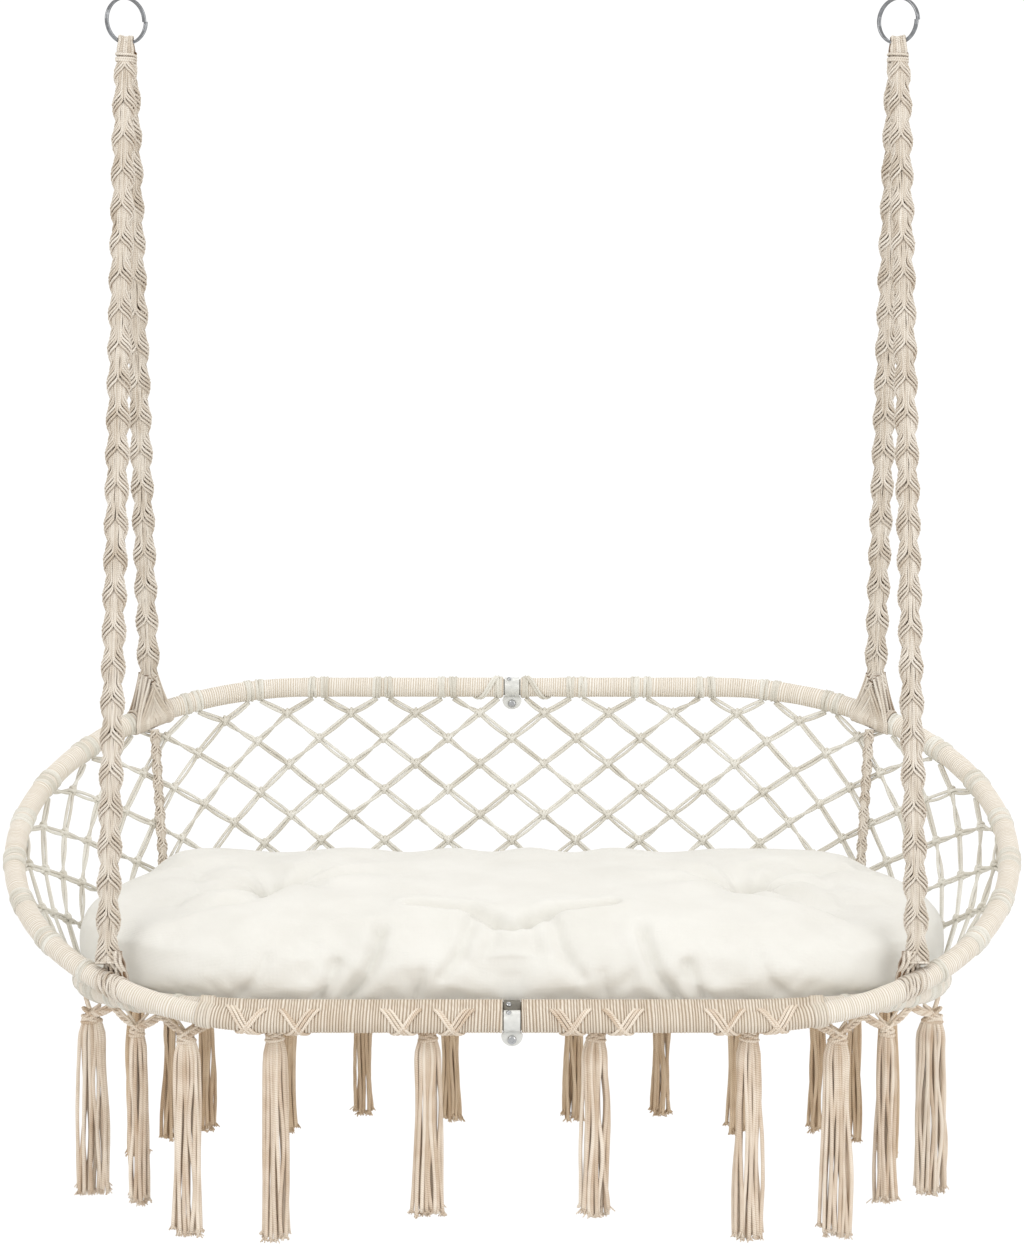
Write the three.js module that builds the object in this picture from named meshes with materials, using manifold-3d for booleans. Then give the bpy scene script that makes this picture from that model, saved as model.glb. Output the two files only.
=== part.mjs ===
import * as THREE from 'three';
import { mergeVertices } from 'three/addons/utils/BufferGeometryUtils.js';
import Module from 'manifold-3d';

const wasm = await Module();
wasm.setup();

// Sizes in millimetres. +X right, +Y away from the sitter's front, +Z up.
// The origin lies midway between the two hook points, inside the top of the rings.

// Clearances
const fitGap = 0.3;
const eyeGap = 1.3;
const flexGap = 0.9;
const cutOverrun = 4;

// Hanging rings
const hangHalfSpacing = 488;
const ringInnerRadius = 24.5;
const ringWireRadius = 3;
const ringTurn = THREE.MathUtils.degToRad(38);

// Hoop tubes and their cord winding
const hoopShiftY = 8;
const tubeRadius = 11;
const tubeWall = 1.5;
const windingThickness = 2.2;
const windingRadius = tubeRadius + fitGap + windingThickness;

// Back hoop, tilted up behind the sitter
const backHoop = {
  halfStraight: 275.5,
  bendRadius: 361,
  tilt: THREE.MathUtils.degToRad(29.24),
  centreY: hoopShiftY,
  centreZ: -1071.9,
};

// Seat hoop, level, nested behind the back hoop's front tube
const seatStraightStep = 7.5;
const seatBendRadius = 280;
const frontTubeSetback = 26.00184;
const frontTubeRise = 8.2372927;
const backFrontY = backHoop.centreY - backHoop.bendRadius * Math.cos(backHoop.tilt);
const backFrontZ = backHoop.centreZ - backHoop.bendRadius * Math.sin(backHoop.tilt);
const seatHoop = {
  halfStraight: backHoop.halfStraight - seatStraightStep,
  bendRadius: seatBendRadius,
  tilt: 0,
  centreY: backFrontY + frontTubeSetback + seatBendRadius,
  centreZ: backFrontZ + frontTubeRise,
};
const seatHoopEnd = seatHoop.halfStraight + seatHoop.bendRadius;

// Joiner sleeves and saddle clamps over the tube joints
const joinerHalfLength = 60;
const joinerWall = 1.7;
const clampHalfWidth = 10;
const clampWall = 2;
const earHalfWidth = 13;
const earDrop = 30;
const earNeckDrop = 14.5;
const earGapHalf = 0.3;
const boltDrop = 22;
const boltRadius = 3;
const boltHeadRadius = 5.5;
const boltHeadHeight = 4;
const nutRadius = 5.2;
const nutHeight = 4.4;
const nutDome = 3.6;
const screwRadius = 1.8;
const screwHeadRadius = 3.4;
const screwHeadHeight = 2.2;
const screwOffset = 4;

// Winding stops beside the clamps, and the lashing that ties both front tubes
const windingGapHalf = 11.5;
const lashingBendReach = 93.5;
const lashingHalfLength = backHoop.halfStraight + lashingBendReach;
const lashingGap = 3;

// Suspension ropes
const eyeBendRadius = 12;
const eyeCordRadius = 5;
const legSpacingHalf = 13.8;
const legDrop = 24;
const legEndRadius = 7.5;
const neckLength = 14;
const ropeTopRadius = 9;
const ropeRadius = 12.3;
const frontPivotRise = 34;
const rearPivotRise = 52;
const footWall = 3;
const frontFlareHalf = 20;
const rearFlareHalf = 36.5;

// Whipping round the neck of each hanging eye
const whippingTurns = 3;
const whippingCordRadius = 1.5;
const whippingPitch = 3.9;
const whippingDrop = 18;

// Netting
const backCellHalfWidth = 44;
const backCellHalfHeight = 34.7;
const seatCellHalfWidth = 62;
const seatCellHalfDepth = 52;
const knotHalfDiagonal = 7;
const cordPairHalfWidth = 5;
const cordHalfThickness = 3;
const knotEdgeMargin = 12;
const hoopEndSpread = 36;
const middleColumns = 6;

// Braided straps behind the sitter
const strapHalfWidth = 8.5;
const strapHalfThickness = 2.5;
const strapSetIn = 8;
const strapEndInset = 83;
const strapSeatX = seatHoopEnd - strapEndInset;

// Fringe under the seat hoop: tassel places are shares of the hoop's half length
const chainRadius = 3.5;
const strutReachShare = 0.86;
const chainDip = 14;
const chainDipHalfSpan = 35;
const frontTasselPlaceShares = [0.965, 0.843, 0.7245, 0.5255, 0.186];
const frontTasselWidths = [40, 25, 34, 33, 34];
const frontTasselDrops = [266, 256, 287, 286, 256];
const rearTasselPlaceShares = [0.912, 0.836, 0.754, 0.558, 0.369, 0.153];
const rearTasselWidths = [24, 22, 22, 24, 22, 25];
const rearTasselDrops = [272, 261, 254, 265, 240, 247];
const tasselHeightShares = [0, 0.05, 0.11, 0.2, 0.6, 1];
const tasselRadiusShares = [0.3, 0.5, 0.36, 0.55, 0.84, 1];

// Seat cushion
const cushionOverhang = 2;
const cushionDepthInset = 12;
const cushionSetback = 3;
const cushionHalfLength = seatHoopEnd + cushionOverhang;
const cushionHalfDepth = seatHoop.bendRadius - cushionDepthInset;
const cushionCentreY = seatHoop.centreY - cushionSetback;
const cushionSideHeight = 118;
const cushionCrown = 22;
const cushionEdgeInset = 27;
const tuftEndInset = 258;
const tuftFrontInset = 122;
const tuftX = cushionHalfLength - tuftEndInset;
const tuftY = cushionCentreY - cushionHalfDepth + tuftFrontInset;
const tuftDepth = 26;
const tuftSpread = 42;
const foldDepth = 20;
const foldSpread = 70;
const sideInsetShares = [1, 0.75, 0.3, 0, 0.08, 0.42, 1];
const sideHeightShares = [0, 0.08, 0.24, 0.5, 0.74, 0.94, 1];
const topShrinkShares = [0.93, 0.82, 0.7, 0.57, 0.44, 0.3, 0.16];

// Facets
const bendSegments = 12;
const tubeSides = 8;
const lashingSides = 6;
const ropeSides = 8;
const chainSides = 5;
const tasselSides = 7;
const footSides = 10;
const boltSides = 8;
const cushionSteps = 40;
const whippingSteps = 12;
const whippingSides = 5;

const axisX = new THREE.Vector3(1, 0, 0);
const axisY = new THREE.Vector3(0, 1, 0);
const axisZ = new THREE.Vector3(0, 0, 1);
const at = (x, y, z) => new THREE.Vector3(x, y, z);
const along = (start, direction, distance) => start.clone().addScaledVector(direction, distance);
const towards = (start, end) => end.clone().sub(start).normalize();

// Materials
const cotton = new THREE.MeshStandardMaterial({ color: 0xded3c1, roughness: 0.95, metalness: 0 });
const cottonRope = new THREE.MeshStandardMaterial({ color: 0xd4cabd, roughness: 0.95, metalness: 0 });
const cottonNet = new THREE.MeshStandardMaterial({ color: 0xd9cdb8, roughness: 0.95, metalness: 0 });
const tasselCotton = new THREE.MeshStandardMaterial({ color: 0xd0c1aa, roughness: 0.97, metalness: 0 });
const canvas = new THREE.MeshStandardMaterial({ color: 0xf1efe9, roughness: 0.9, metalness: 0 });
const paintedSteel = new THREE.MeshStandardMaterial({ color: 0x6d6b68, roughness: 0.5, metalness: 0.4 });
const chromedSteel = new THREE.MeshStandardMaterial({ color: 0xd7d8d4, roughness: 0.25, metalness: 0.9 });

const group = new THREE.Group();
group.name = 'hammock_chair';

// Build one named mesh in the part
function add(name, geometry, material) {
  const mesh = new THREE.Mesh(geometry, material);
  mesh.name = name;
  group.add(mesh);
}

// Mirror a left-hand geometry to the right-hand side
function mirrored(geometry) {
  const other = geometry.clone().scale(-1, 1, 1);
  const index = Array.from(other.index.array);
  for (let i = 0; i < index.length; i += 3) {
    [index[i + 1], index[i + 2]] = [index[i + 2], index[i + 1]];
  }
  other.setIndex(index);
  return other;
}

function addPair(name, geometry, material) {
  add(`left_${name}`, geometry, material);
  add(`right_${name}`, mirrored(geometry), material);
}

// Closed geometry from points and faces, turned to face out
function closedGeometry(points, faces) {
  let volume = 0;
  for (const [a, b, c] of faces) {
    volume += points[a].dot(points[b].clone().cross(points[c]));
  }
  const turned = volume < 0 ? faces.map(([a, b, c]) => [a, c, b]) : faces;
  const geometry = new THREE.BufferGeometry();
  const values = points.flatMap((point) => point.toArray());
  geometry.setAttribute('position', new THREE.Float32BufferAttribute(values, 3));
  geometry.setIndex(turned.flat());
  return geometry;
}

// Skin over rings of equal count, capped at both ends or joined end to end
function loft(rings, joined = false) {
  const count = rings[0].length;
  const spans = joined ? rings.length : rings.length - 1;
  const faces = [];
  for (let i = 0; i < spans; i += 1) {
    const a = i * count;
    const b = ((i + 1) % rings.length) * count;
    for (let j = 0; j < count; j += 1) {
      const k = (j + 1) % count;
      faces.push([a + j, a + k, b + k], [a + j, b + k, b + j]);
    }
  }
  if (!joined) {
    const last = (rings.length - 1) * count;
    for (let j = 1; j < count - 1; j += 1) {
      faces.push([0, j + 1, j], [last, last + j, last + j + 1]);
    }
  }
  return closedGeometry(rings.flat(), faces);
}

// Ellipse ring whose flats face along its two axes
function ring(centre, u, v, radiusU, radiusV, sides) {
  const points = [];
  for (let j = 0; j < sides; j += 1) {
    const angle = ((j + 0.5) * 2 * Math.PI) / sides;
    const point = along(centre, u, radiusU * Math.cos(angle));
    points.push(point.addScaledVector(v, radiusV * Math.sin(angle)));
  }
  return points;
}

// Direction of a path at one of its points, halfway between its two runs
function pathDirection(path, i) {
  const before = i > 0 ? towards(path[i - 1], path[i]) : at(0, 0, 0);
  const after = i < path.length - 1 ? towards(path[i], path[i + 1]) : at(0, 0, 0);
  return before.add(after).normalize();
}

function tubeRings(path, side, radii, sides) {
  return path.map((point, i) => {
    const direction = pathDirection(path, i);
    const u = along(side, direction, -side.dot(direction)).normalize();
    const v = direction.clone().cross(u);
    const radius = Array.isArray(radii) ? radii[i] : radii;
    return ring(point, u, v, radius, radius, sides);
  });
}

function solidTube(path, side, radii, sides) {
  return loft(tubeRings(path, side, radii, sides));
}

function hollowTube(path, side, outer, inner, sides) {
  const outerRings = tubeRings(path, side, outer, sides);
  const innerRings = tubeRings(path, side, inner, sides);
  return loft([...outerRings, ...innerRings.reverse()], true);
}

// Round piece turned about an axis: each row is a distance along it and a radius
function turned(centre, axis, side, rows, sides) {
  const v = axis.clone().cross(side);
  const rings = rows.map(([distance, radius]) => ring(along(centre, axis, distance), side, v, radius, radius, sides));
  return loft(rings);
}

// Solids for joins and cuts
function solid(geometry) {
  const source = geometry.clone();
  source.deleteAttribute('normal');
  source.deleteAttribute('uv');
  const merged = mergeVertices(source);
  const vertProperties = new Float32Array(merged.attributes.position.array);
  const triVerts = new Uint32Array(merged.index.array);
  return new wasm.Manifold(new wasm.Mesh({ numProp: 3, vertProperties, triVerts }));
}

function geometryOf(manifold) {
  const mesh = manifold.getMesh();
  const geometry = new THREE.BufferGeometry();
  geometry.setAttribute('position', new THREE.BufferAttribute(new Float32Array(mesh.vertProperties), 3));
  geometry.setIndex(Array.from(mesh.triVerts));
  return geometry;
}

// Place on a hoop's plane, and the plane's normal
function hoopPlace(hoop, x, v) {
  return at(x, hoop.centreY + v * Math.cos(hoop.tilt), hoop.centreZ + v * Math.sin(hoop.tilt));
}

function hoopNormal(hoop) {
  return at(0, -Math.sin(hoop.tilt), Math.cos(hoop.tilt));
}

// Left half of a hoop: station 0 at the rear centre, 1 to 2 round the end, 3 at the front centre
function bendPlace(hoop, step) {
  const angle = (step * Math.PI) / bendSegments;
  const x = -hoop.halfStraight - hoop.bendRadius * Math.sin(angle);
  return hoopPlace(hoop, x, hoop.bendRadius * Math.cos(angle));
}

function hoopPoint(hoop, station) {
  if (station <= 1) {
    return hoopPlace(hoop, -hoop.halfStraight * station, hoop.bendRadius);
  }
  if (station >= 2) {
    return hoopPlace(hoop, -hoop.halfStraight * (3 - station), -hoop.bendRadius);
  }
  const step = (station - 1) * bendSegments;
  const whole = Math.min(Math.floor(step), bendSegments - 1);
  return bendPlace(hoop, whole).lerp(bendPlace(hoop, whole + 1), step - whole);
}

function hoopDirection(hoop, station) {
  const nudge = 0.2 / bendSegments;
  return towards(hoopPoint(hoop, station - nudge), hoopPoint(hoop, station + nudge));
}

// Station where a hoop passes a given distance from the middle
function stationAt(hoop, distance, near, far) {
  let low = near;
  let high = far;
  for (let i = 0; i < 50; i += 1) {
    const middle = (low + high) / 2;
    if (-hoopPoint(hoop, middle).x < distance) {
      low = middle;
    } else {
      high = middle;
    }
  }
  return low;
}
const rearStation = (hoop, distance) => stationAt(hoop, distance, 0, 1.5);
const frontStation = (hoop, distance) => stationAt(hoop, distance, 3, 1.5);

function hoopPath(hoop, from, to) {
  const stations = [from];
  for (let step = 0; step <= bendSegments; step += 1) {
    const station = 1 + step / bendSegments;
    if (station > from && station < to) {
      stations.push(station);
    }
  }
  stations.push(to);
  return stations.map((station) => hoopPoint(hoop, station));
}

// Steel rings
const ringWireCentre = ringInnerRadius + ringWireRadius;
const pivotZ = -2 * ringInnerRadius - ringWireRadius;
const steelRing = new THREE.TorusGeometry(ringWireCentre, ringWireRadius, 8, 18);
steelRing.deleteAttribute('normal');
steelRing.deleteAttribute('uv');
steelRing.rotateX(Math.PI / 2);
steelRing.rotateZ(ringTurn);
steelRing.translate(-hangHalfSpacing, 0, -ringInnerRadius);
addPair('ring', mergeVertices(steelRing, 1e-4), chromedSteel);

// Rope lines from the hanging eye down to the back hoop
const frontFootPoint = hoopPoint(backHoop, frontStation(backHoop, hangHalfSpacing));
const rearFootPoint = hoopPoint(backHoop, rearStation(backHoop, hangHalfSpacing));
const frontLegPoint = at(-hangHalfSpacing, -legSpacingHalf, pivotZ - legDrop);
const rearLegPoint = at(-hangHalfSpacing, legSpacingHalf, pivotZ - legDrop);
const frontLine = towards(frontLegPoint, frontFootPoint);
const rearLine = towards(rearLegPoint, rearFootPoint);

// Hanging eye: one cord over the ring, its two legs becoming the front and rear ropes
const eyeCentreZ = pivotZ + ringWireRadius + eyeGap + eyeCordRadius - eyeBendRadius;
const eyePath = [along(frontLegPoint, frontLine, neckLength), frontLegPoint];
const eyeRadii = [legEndRadius, legEndRadius];
const eyeSteps = 8;
for (let i = 0; i <= eyeSteps; i += 1) {
  const angle = Math.PI - (i * Math.PI) / eyeSteps;
  const y = eyeBendRadius * Math.cos(angle);
  eyePath.push(at(-hangHalfSpacing, y, eyeCentreZ + eyeBendRadius * Math.sin(angle)));
  eyeRadii.push(eyeCordRadius);
}
eyePath.push(rearLegPoint, along(rearLegPoint, rearLine, neckLength));
eyeRadii.push(legEndRadius, legEndRadius);
addPair('hanging_eye', solidTube(eyePath, axisX, eyeRadii, ropeSides), cottonRope);

// Whipping: one cord wound round both legs of the eye
const whippingHalfRun = legSpacingHalf + neckLength * Math.abs(rearLine.y);
const whippingRound = legEndRadius + fitGap + whippingCordRadius;
const whippingPath = [];
const whippingCount = whippingTurns * whippingSteps;
for (let i = 0; i <= whippingCount; i += 1) {
  const angle = (i * 2 * Math.PI) / whippingSteps;
  const run = whippingHalfRun * Math.tanh(2 * Math.cos(angle));
  const y = run + whippingRound * Math.cos(angle);
  const z = pivotZ - whippingDrop - (whippingPitch * i) / whippingSteps;
  whippingPath.push(at(-hangHalfSpacing + whippingRound * 1.15 * Math.sin(angle), y, z));
}
const whipping = solidTube(whippingPath, axisZ, whippingCordRadius, whippingSides);
addPair('whipping', whipping, cotton);

// Ropes: flexing joint below the neck, ball-shaped bottom end on its foot
const ropeLengthShares = [0, 0.05, 0.15, 0.4, 0.7, 1];
const ropeThicknessShares = [0, 0.35, 0.7, 0.9, 1, 1];
const ballShares = [30, 60, 80].map((degrees) => THREE.MathUtils.degToRad(degrees));
function rope(legPoint, line, pivot) {
  const top = along(legPoint, line, neckLength + flexGap);
  const path = ropeLengthShares.map((share) => top.clone().lerp(pivot, share));
  const radii = ropeThicknessShares.map((share) => THREE.MathUtils.lerp(ropeTopRadius, ropeRadius, share));
  for (const angle of ballShares) {
    path.push(along(pivot, line, ropeRadius * Math.sin(angle)));
    radii.push(ropeRadius * Math.cos(angle));
  }
  return solidTube(path, axisX, radii, ropeSides);
}
const frontPivot = along(frontFootPoint, frontLine, -frontPivotRise);
const rearPivot = along(rearFootPoint, rearLine, -rearPivotRise);
addPair('front_rope', rope(frontLegPoint, frontLine, frontPivot), cottonRope);
addPair('rear_rope', rope(rearLegPoint, rearLine, rearPivot), cottonRope);

// Rope feet: wrapped flares that straddle the back hoop
const saddleRadius = windingRadius + footWall;
const footRiseShares = [-1, -0.55, 0];
const footLengthShares = [0.6, 0.92, 1, 0.66];
const footWidthShares = [0.45, 0.9, 1, 0.85];
function footFlare(footPoint, line, station, flareHalf, pivotRise, grow) {
  const up = line.clone().negate();
  const direction = hoopDirection(backHoop, station);
  const u = along(direction, up, -direction.dot(up)).normalize();
  const v = up.clone().cross(u);
  const top = pivotRise - ropeRadius - fitGap;
  const reach = saddleRadius + grow;
  const rises = [...footRiseShares.map((share) => share * reach), top / 2];
  const rings = rises.map((rise, i) => {
    const centre = along(footPoint, up, rise);
    const halfLength = flareHalf * footLengthShares[i] + grow;
    return ring(centre, u, v, halfLength, saddleRadius * footWidthShares[i] + grow, footSides);
  });
  rings.push(ring(along(footPoint, up, top), u, v, ropeRadius + grow, ropeRadius + grow, footSides));
  return solid(loft(rings));
}
function ropeFoot(place, line, station, flareHalf, pivotRise) {
  const margin = 2 / bendSegments;
  const borePath = hoopPath(backHoop, station - margin, station + margin);
  const bore = solidTube(borePath, hoopNormal(backHoop), windingRadius + fitGap, tubeSides);
  const flare = footFlare(place, line, station, flareHalf, pivotRise, 0);
  return geometryOf(flare.subtract(solid(bore)));
}
const frontFootStation = frontStation(backHoop, hangHalfSpacing);
const rearFootStation = rearStation(backHoop, hangHalfSpacing);
const frontFoot = ropeFoot(frontFootPoint, frontLine, frontFootStation, frontFlareHalf, frontPivotRise);
const rearFoot = ropeFoot(rearFootPoint, rearLine, rearFootStation, rearFlareHalf, rearPivotRise);
addPair('front_rope_foot', frontFoot, cottonRope);
addPair('rear_rope_foot', rearFoot, cottonRope);

// Hoop halves, joiner sleeves and windings
function hoopParts(name, hoop) {
  const side = hoopNormal(hoop);
  const jointGap = fitGap / 2 / hoop.halfStraight;
  const tubePath = hoopPath(hoop, jointGap, 3 - jointGap);
  addPair(`${name}_tube`, hollowTube(tubePath, side, tubeRadius, tubeRadius - tubeWall, tubeSides), paintedSteel);
  const windingFrom = windingGapHalf / hoop.halfStraight;
  const windingTo = frontStation(hoop, lashingHalfLength + lashingGap);
  const windingPath = hoopPath(hoop, windingFrom, windingTo);
  const winding = hollowTube(windingPath, side, windingRadius, tubeRadius + fitGap, tubeSides);
  addPair(`${name}_winding`, winding, cotton);
  const sleeveRadius = tubeRadius - tubeWall - fitGap;
  const places = { rear: hoopPoint(hoop, 0), front: hoopPoint(hoop, 3) };
  for (const [place, centre] of Object.entries(places)) {
    const path = [along(centre, axisX, -joinerHalfLength), along(centre, axisX, joinerHalfLength)];
    const sleeve = hollowTube(path, side, sleeveRadius, sleeveRadius - joinerWall, tubeSides);
    add(`${name}_${place}_joiner`, sleeve, paintedSteel);
    addClamp(`${name}_${place}_clamp`, centre, side);
  }
}

// Saddle clamp: strap round the tube, two ears below, bolt, dome nut and locating screw
function addClamp(name, centre, side) {
  const boreRadius = tubeRadius + fitGap;
  const strapRadius = boreRadius + clampWall;
  const strapPath = [along(centre, axisX, -clampHalfWidth), along(centre, axisX, clampHalfWidth)];
  let strap = solid(hollowTube(strapPath, side, strapRadius, boreRadius, tubeSides));
  const earTop = (boreRadius + clampWall / 2) * Math.cos(Math.PI / tubeSides);
  const earBottom = earDrop - earHalfWidth;
  const outline = new THREE.Shape();
  outline.moveTo(-clampHalfWidth, -earTop);
  outline.lineTo(-clampHalfWidth, -earNeckDrop);
  outline.lineTo(-earHalfWidth, -earBottom);
  outline.absarc(0, -earBottom, earHalfWidth, -Math.PI, 0, false);
  outline.lineTo(clampHalfWidth, -earNeckDrop);
  outline.lineTo(clampHalfWidth, -earTop);
  const boltHole = new THREE.Path();
  boltHole.absarc(0, -boltDrop, boltRadius + fitGap, 0, 2 * Math.PI, true);
  outline.holes.push(boltHole);
  const settings = { depth: clampWall, bevelEnabled: false, curveSegments: 5 };
  for (const offset of [-earGapHalf, earGapHalf + clampWall]) {
    const ear = new THREE.ExtrudeGeometry(outline, settings);
    ear.rotateX(Math.PI / 2);
    ear.translate(centre.x, centre.y + offset, centre.z);
    strap = strap.add(solid(ear));
  }
  const slot = new THREE.BoxGeometry(2 * (clampHalfWidth + cutOverrun), 2 * earGapHalf, 2 * clampWall);
  slot.translate(centre.x, centre.y, centre.z - boreRadius);
  strap = strap.subtract(solid(slot));
  const facing = side.clone().applyAxisAngle(axisX, side.y < 0 ? 0 : Math.PI / 4);
  const screwPlace = at(centre.x - screwOffset, centre.y, centre.z);
  const wallFace = strapRadius * Math.cos(Math.PI / tubeSides);
  const hole = turned(screwPlace, facing, axisX, [
    [tubeRadius - tubeWall, screwRadius + fitGap],
    [strapRadius + cutOverrun, screwRadius + fitGap],
  ], boltSides);
  add(name, geometryOf(strap.subtract(solid(hole))), chromedSteel);
  const boltPlace = at(centre.x, centre.y, centre.z - boltDrop);
  const earFace = earGapHalf + clampWall + fitGap;
  const head = earFace + boltHeadHeight;
  const shankEnd = earFace + nutHeight;
  add(`${name}_bolt`, turned(boltPlace, axisY, axisX, [
    [-head, boltHeadRadius / 2],
    [-head + boltHeadHeight / 3, boltHeadRadius],
    [-earFace, boltHeadRadius],
    [-earFace, boltRadius],
    [shankEnd, boltRadius],
  ], boltSides), chromedSteel);
  const nut = solid(turned(boltPlace, axisY, axisX, [
    [earFace, nutRadius],
    [earFace + nutHeight, nutRadius],
    [earFace + nutHeight + nutDome * 0.7, nutRadius * 0.7],
    [earFace + nutHeight + nutDome, nutRadius * 0.3],
  ], boltSides));
  const nutBore = solid(turned(boltPlace, axisY, axisX, [
    [0, boltRadius + fitGap],
    [shankEnd + fitGap, boltRadius + fitGap],
  ], boltSides));
  add(`${name}_nut`, geometryOf(nut.subtract(nutBore)), chromedSteel);
  add(`${name}_screw`, turned(screwPlace, facing, axisX, [
    [wallFace - clampWall, screwRadius],
    [wallFace + fitGap, screwRadius],
    [wallFace + fitGap, screwHeadRadius],
    [wallFace + fitGap + screwHeadHeight / 2, screwHeadRadius],
    [wallFace + fitGap + screwHeadHeight, screwHeadRadius / 2],
  ], boltSides), chromedSteel);
}
hoopParts('back_hoop', backHoop);
hoopParts('seat_hoop', seatHoop);

// Lashings: cord wound round both front tubes, from the clamps to where the hoops part
const lashingBore = (tubeRadius + fitGap) / Math.cos(Math.PI / 2 / lashingSides);
const lashingOuter = windingRadius + fitGap;
const lashingPlaces = [
  lashingHalfLength,
  -bendPlace(seatHoop, bendSegments - 1).x,
  backHoop.halfStraight,
  seatHoop.halfStraight,
  windingGapHalf,
];
function lashingRing(distance, radius) {
  const backStation = frontStation(backHoop, distance);
  const seatStation = frontStation(seatHoop, distance);
  const backPoint = hoopPoint(backHoop, backStation);
  const seatPoint = hoopPoint(seatHoop, seatStation);
  const span = towards(seatPoint, backPoint);
  const points = [];
  const halves = [
    [backPoint, hoopDirection(backHoop, Math.min(backStation, 2.9)), -0.5],
    [seatPoint, hoopDirection(seatHoop, Math.min(seatStation, 2.9)), 0.5],
  ];
  for (const [centre, direction, startTurn] of halves) {
    const u = along(span, direction, -span.dot(direction)).normalize();
    const v = direction.clone().cross(u);
    for (let j = 0; j <= lashingSides; j += 1) {
      const angle = Math.PI * (startTurn + j / lashingSides);
      points.push(along(centre, u, radius * Math.cos(angle)).addScaledVector(v, radius * Math.sin(angle)));
    }
  }
  return points;
}
const lashing = loft([
  ...lashingPlaces.map((distance) => lashingRing(distance, lashingOuter)),
  ...lashingPlaces.map((distance) => lashingRing(distance, lashingBore)).reverse(),
], true);
addPair('front_lashing', lashing, cotton);

// Knotted net: square knot blocks joined by struts of paired cords.
// Corner order of a block is right, bottom, left, top; strut 0 goes down right, 1 down left, 2 up left, 3 up right.
const strutSteps = [[1, 1], [-1, 1], [-1, -1], [1, -1]];
const knotKey = (column, row) => `${column},${row}`;
function netGeometryOf(knots, endOf) {
  const points = [];
  const faces = [];
  const pair = (point, normal) => {
    points.push(along(point, normal, cordHalfThickness), along(point, normal, -cordHalfThickness));
    return [points.length - 2, points.length - 1];
  };
  for (const knot of knots.values()) {
    const corners = [
      along(knot.centre, knot.across, knotHalfDiagonal),
      along(knot.centre, knot.down, knotHalfDiagonal),
      along(knot.centre, knot.across, -knotHalfDiagonal),
      along(knot.centre, knot.down, -knotHalfDiagonal),
    ];
    knot.corners = corners;
    knot.ids = corners.map((corner) => pair(corner, knot.normal));
    const [[r, r2], [b, b2], [l, l2], [t, t2]] = knot.ids;
    faces.push([r, b, l], [r, l, t], [r2, l2, b2], [r2, t2, l2]);
  }
  const strut = ([p, p2], [q, q2], [pe, pe2], [qe, qe2]) => {
    faces.push([p, pe, qe], [p, qe, q], [p2, qe2, pe2], [p2, q2, qe2]);
    faces.push([p2, pe2, pe], [p2, pe, p], [qe2, q2, q], [qe2, q, qe]);
  };
  const cap = ([p, p2], [q, q2]) => faces.push([p2, q2, q], [p2, q, p]);
  for (const knot of knots.values()) {
    strutSteps.forEach(([stepColumn, stepRow], side) => {
      const p = knot.ids[side];
      const q = knot.ids[(side + 1) % 4];
      const next = knots.get(knotKey(knot.column + stepColumn, knot.row + stepRow));
      if (next && side < 2) {
        strut(p, q, next.ids[(side + 3) % 4], next.ids[(side + 2) % 4]);
      }
      if (!next) {
        const end = endOf(knot, side);
        if (end) {
          const pe = pair(...end[0]);
          const qe = pair(...end[1]);
          strut(p, q, pe, qe);
          cap(pe, qe);
        } else {
          cap(p, q);
        }
      }
    });
  }
  return closedGeometry(points, faces);
}

// Surface ruled between the back hoop and the seat hoop, by distance along the back hoop and down
const bendRun = 2 * backHoop.bendRadius * Math.sin(Math.PI / 2 / bendSegments) * bendSegments;
function stationOfRun(run) {
  if (run <= backHoop.halfStraight) {
    return run / backHoop.halfStraight;
  }
  return Math.min(1 + (run - backHoop.halfStraight) / bendRun, 2);
}
const netClear = windingRadius + fitGap;
function ruling(run) {
  const station = stationOfRun(Math.abs(run));
  const top = hoopPoint(backHoop, station);
  const bottom = hoopPoint(seatHoop, station);
  const down = towards(top, bottom);
  const topClear = netClear / down.clone().cross(hoopDirection(backHoop, station)).length();
  const bottomClear = netClear / down.clone().cross(hoopDirection(seatHoop, station)).length();
  const length = top.distanceTo(bottom);
  return { top, down, topClear, lowest: length - bottomClear };
}
function surface(run, drop) {
  const { top, down } = ruling(run);
  const point = along(top, down, drop);
  if (run < 0) {
    point.x = -point.x;
  }
  return point;
}
function surfaceFrame(run, drop) {
  const centre = surface(run, drop);
  const nudge = cordPairHalfWidth;
  const across = towards(surface(run - nudge, drop), surface(run + nudge, drop));
  const down = towards(centre, surface(run, drop + nudge));
  const normal = across.clone().cross(down).normalize();
  return { centre, across, down, normal };
}

// Knots of the back and side nets
const lastColumn = Math.floor((backHoop.halfStraight + bendRun) / backCellHalfWidth);
function backKnots(firstColumn, endColumn) {
  const knots = new Map();
  for (let column = firstColumn; column <= endColumn; column += 1) {
    const run = column * backCellHalfWidth;
    const { lowest } = ruling(run);
    for (let row = 0; (row + 1) * backCellHalfHeight < lowest - knotEdgeMargin; row += 1) {
      if ((row + column) % 2 !== 0) {
        const drop = (row + 1) * backCellHalfHeight;
        knots.set(knotKey(column, row), { column, row, run, drop, ...surfaceFrame(run, drop) });
      }
    }
  }
  return knots;
}
const allBackKnots = backKnots(-lastColumn, lastColumn);
const netEdge = (run, drop) => [surface(run, drop), surfaceFrame(run, drop).normal];

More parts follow.
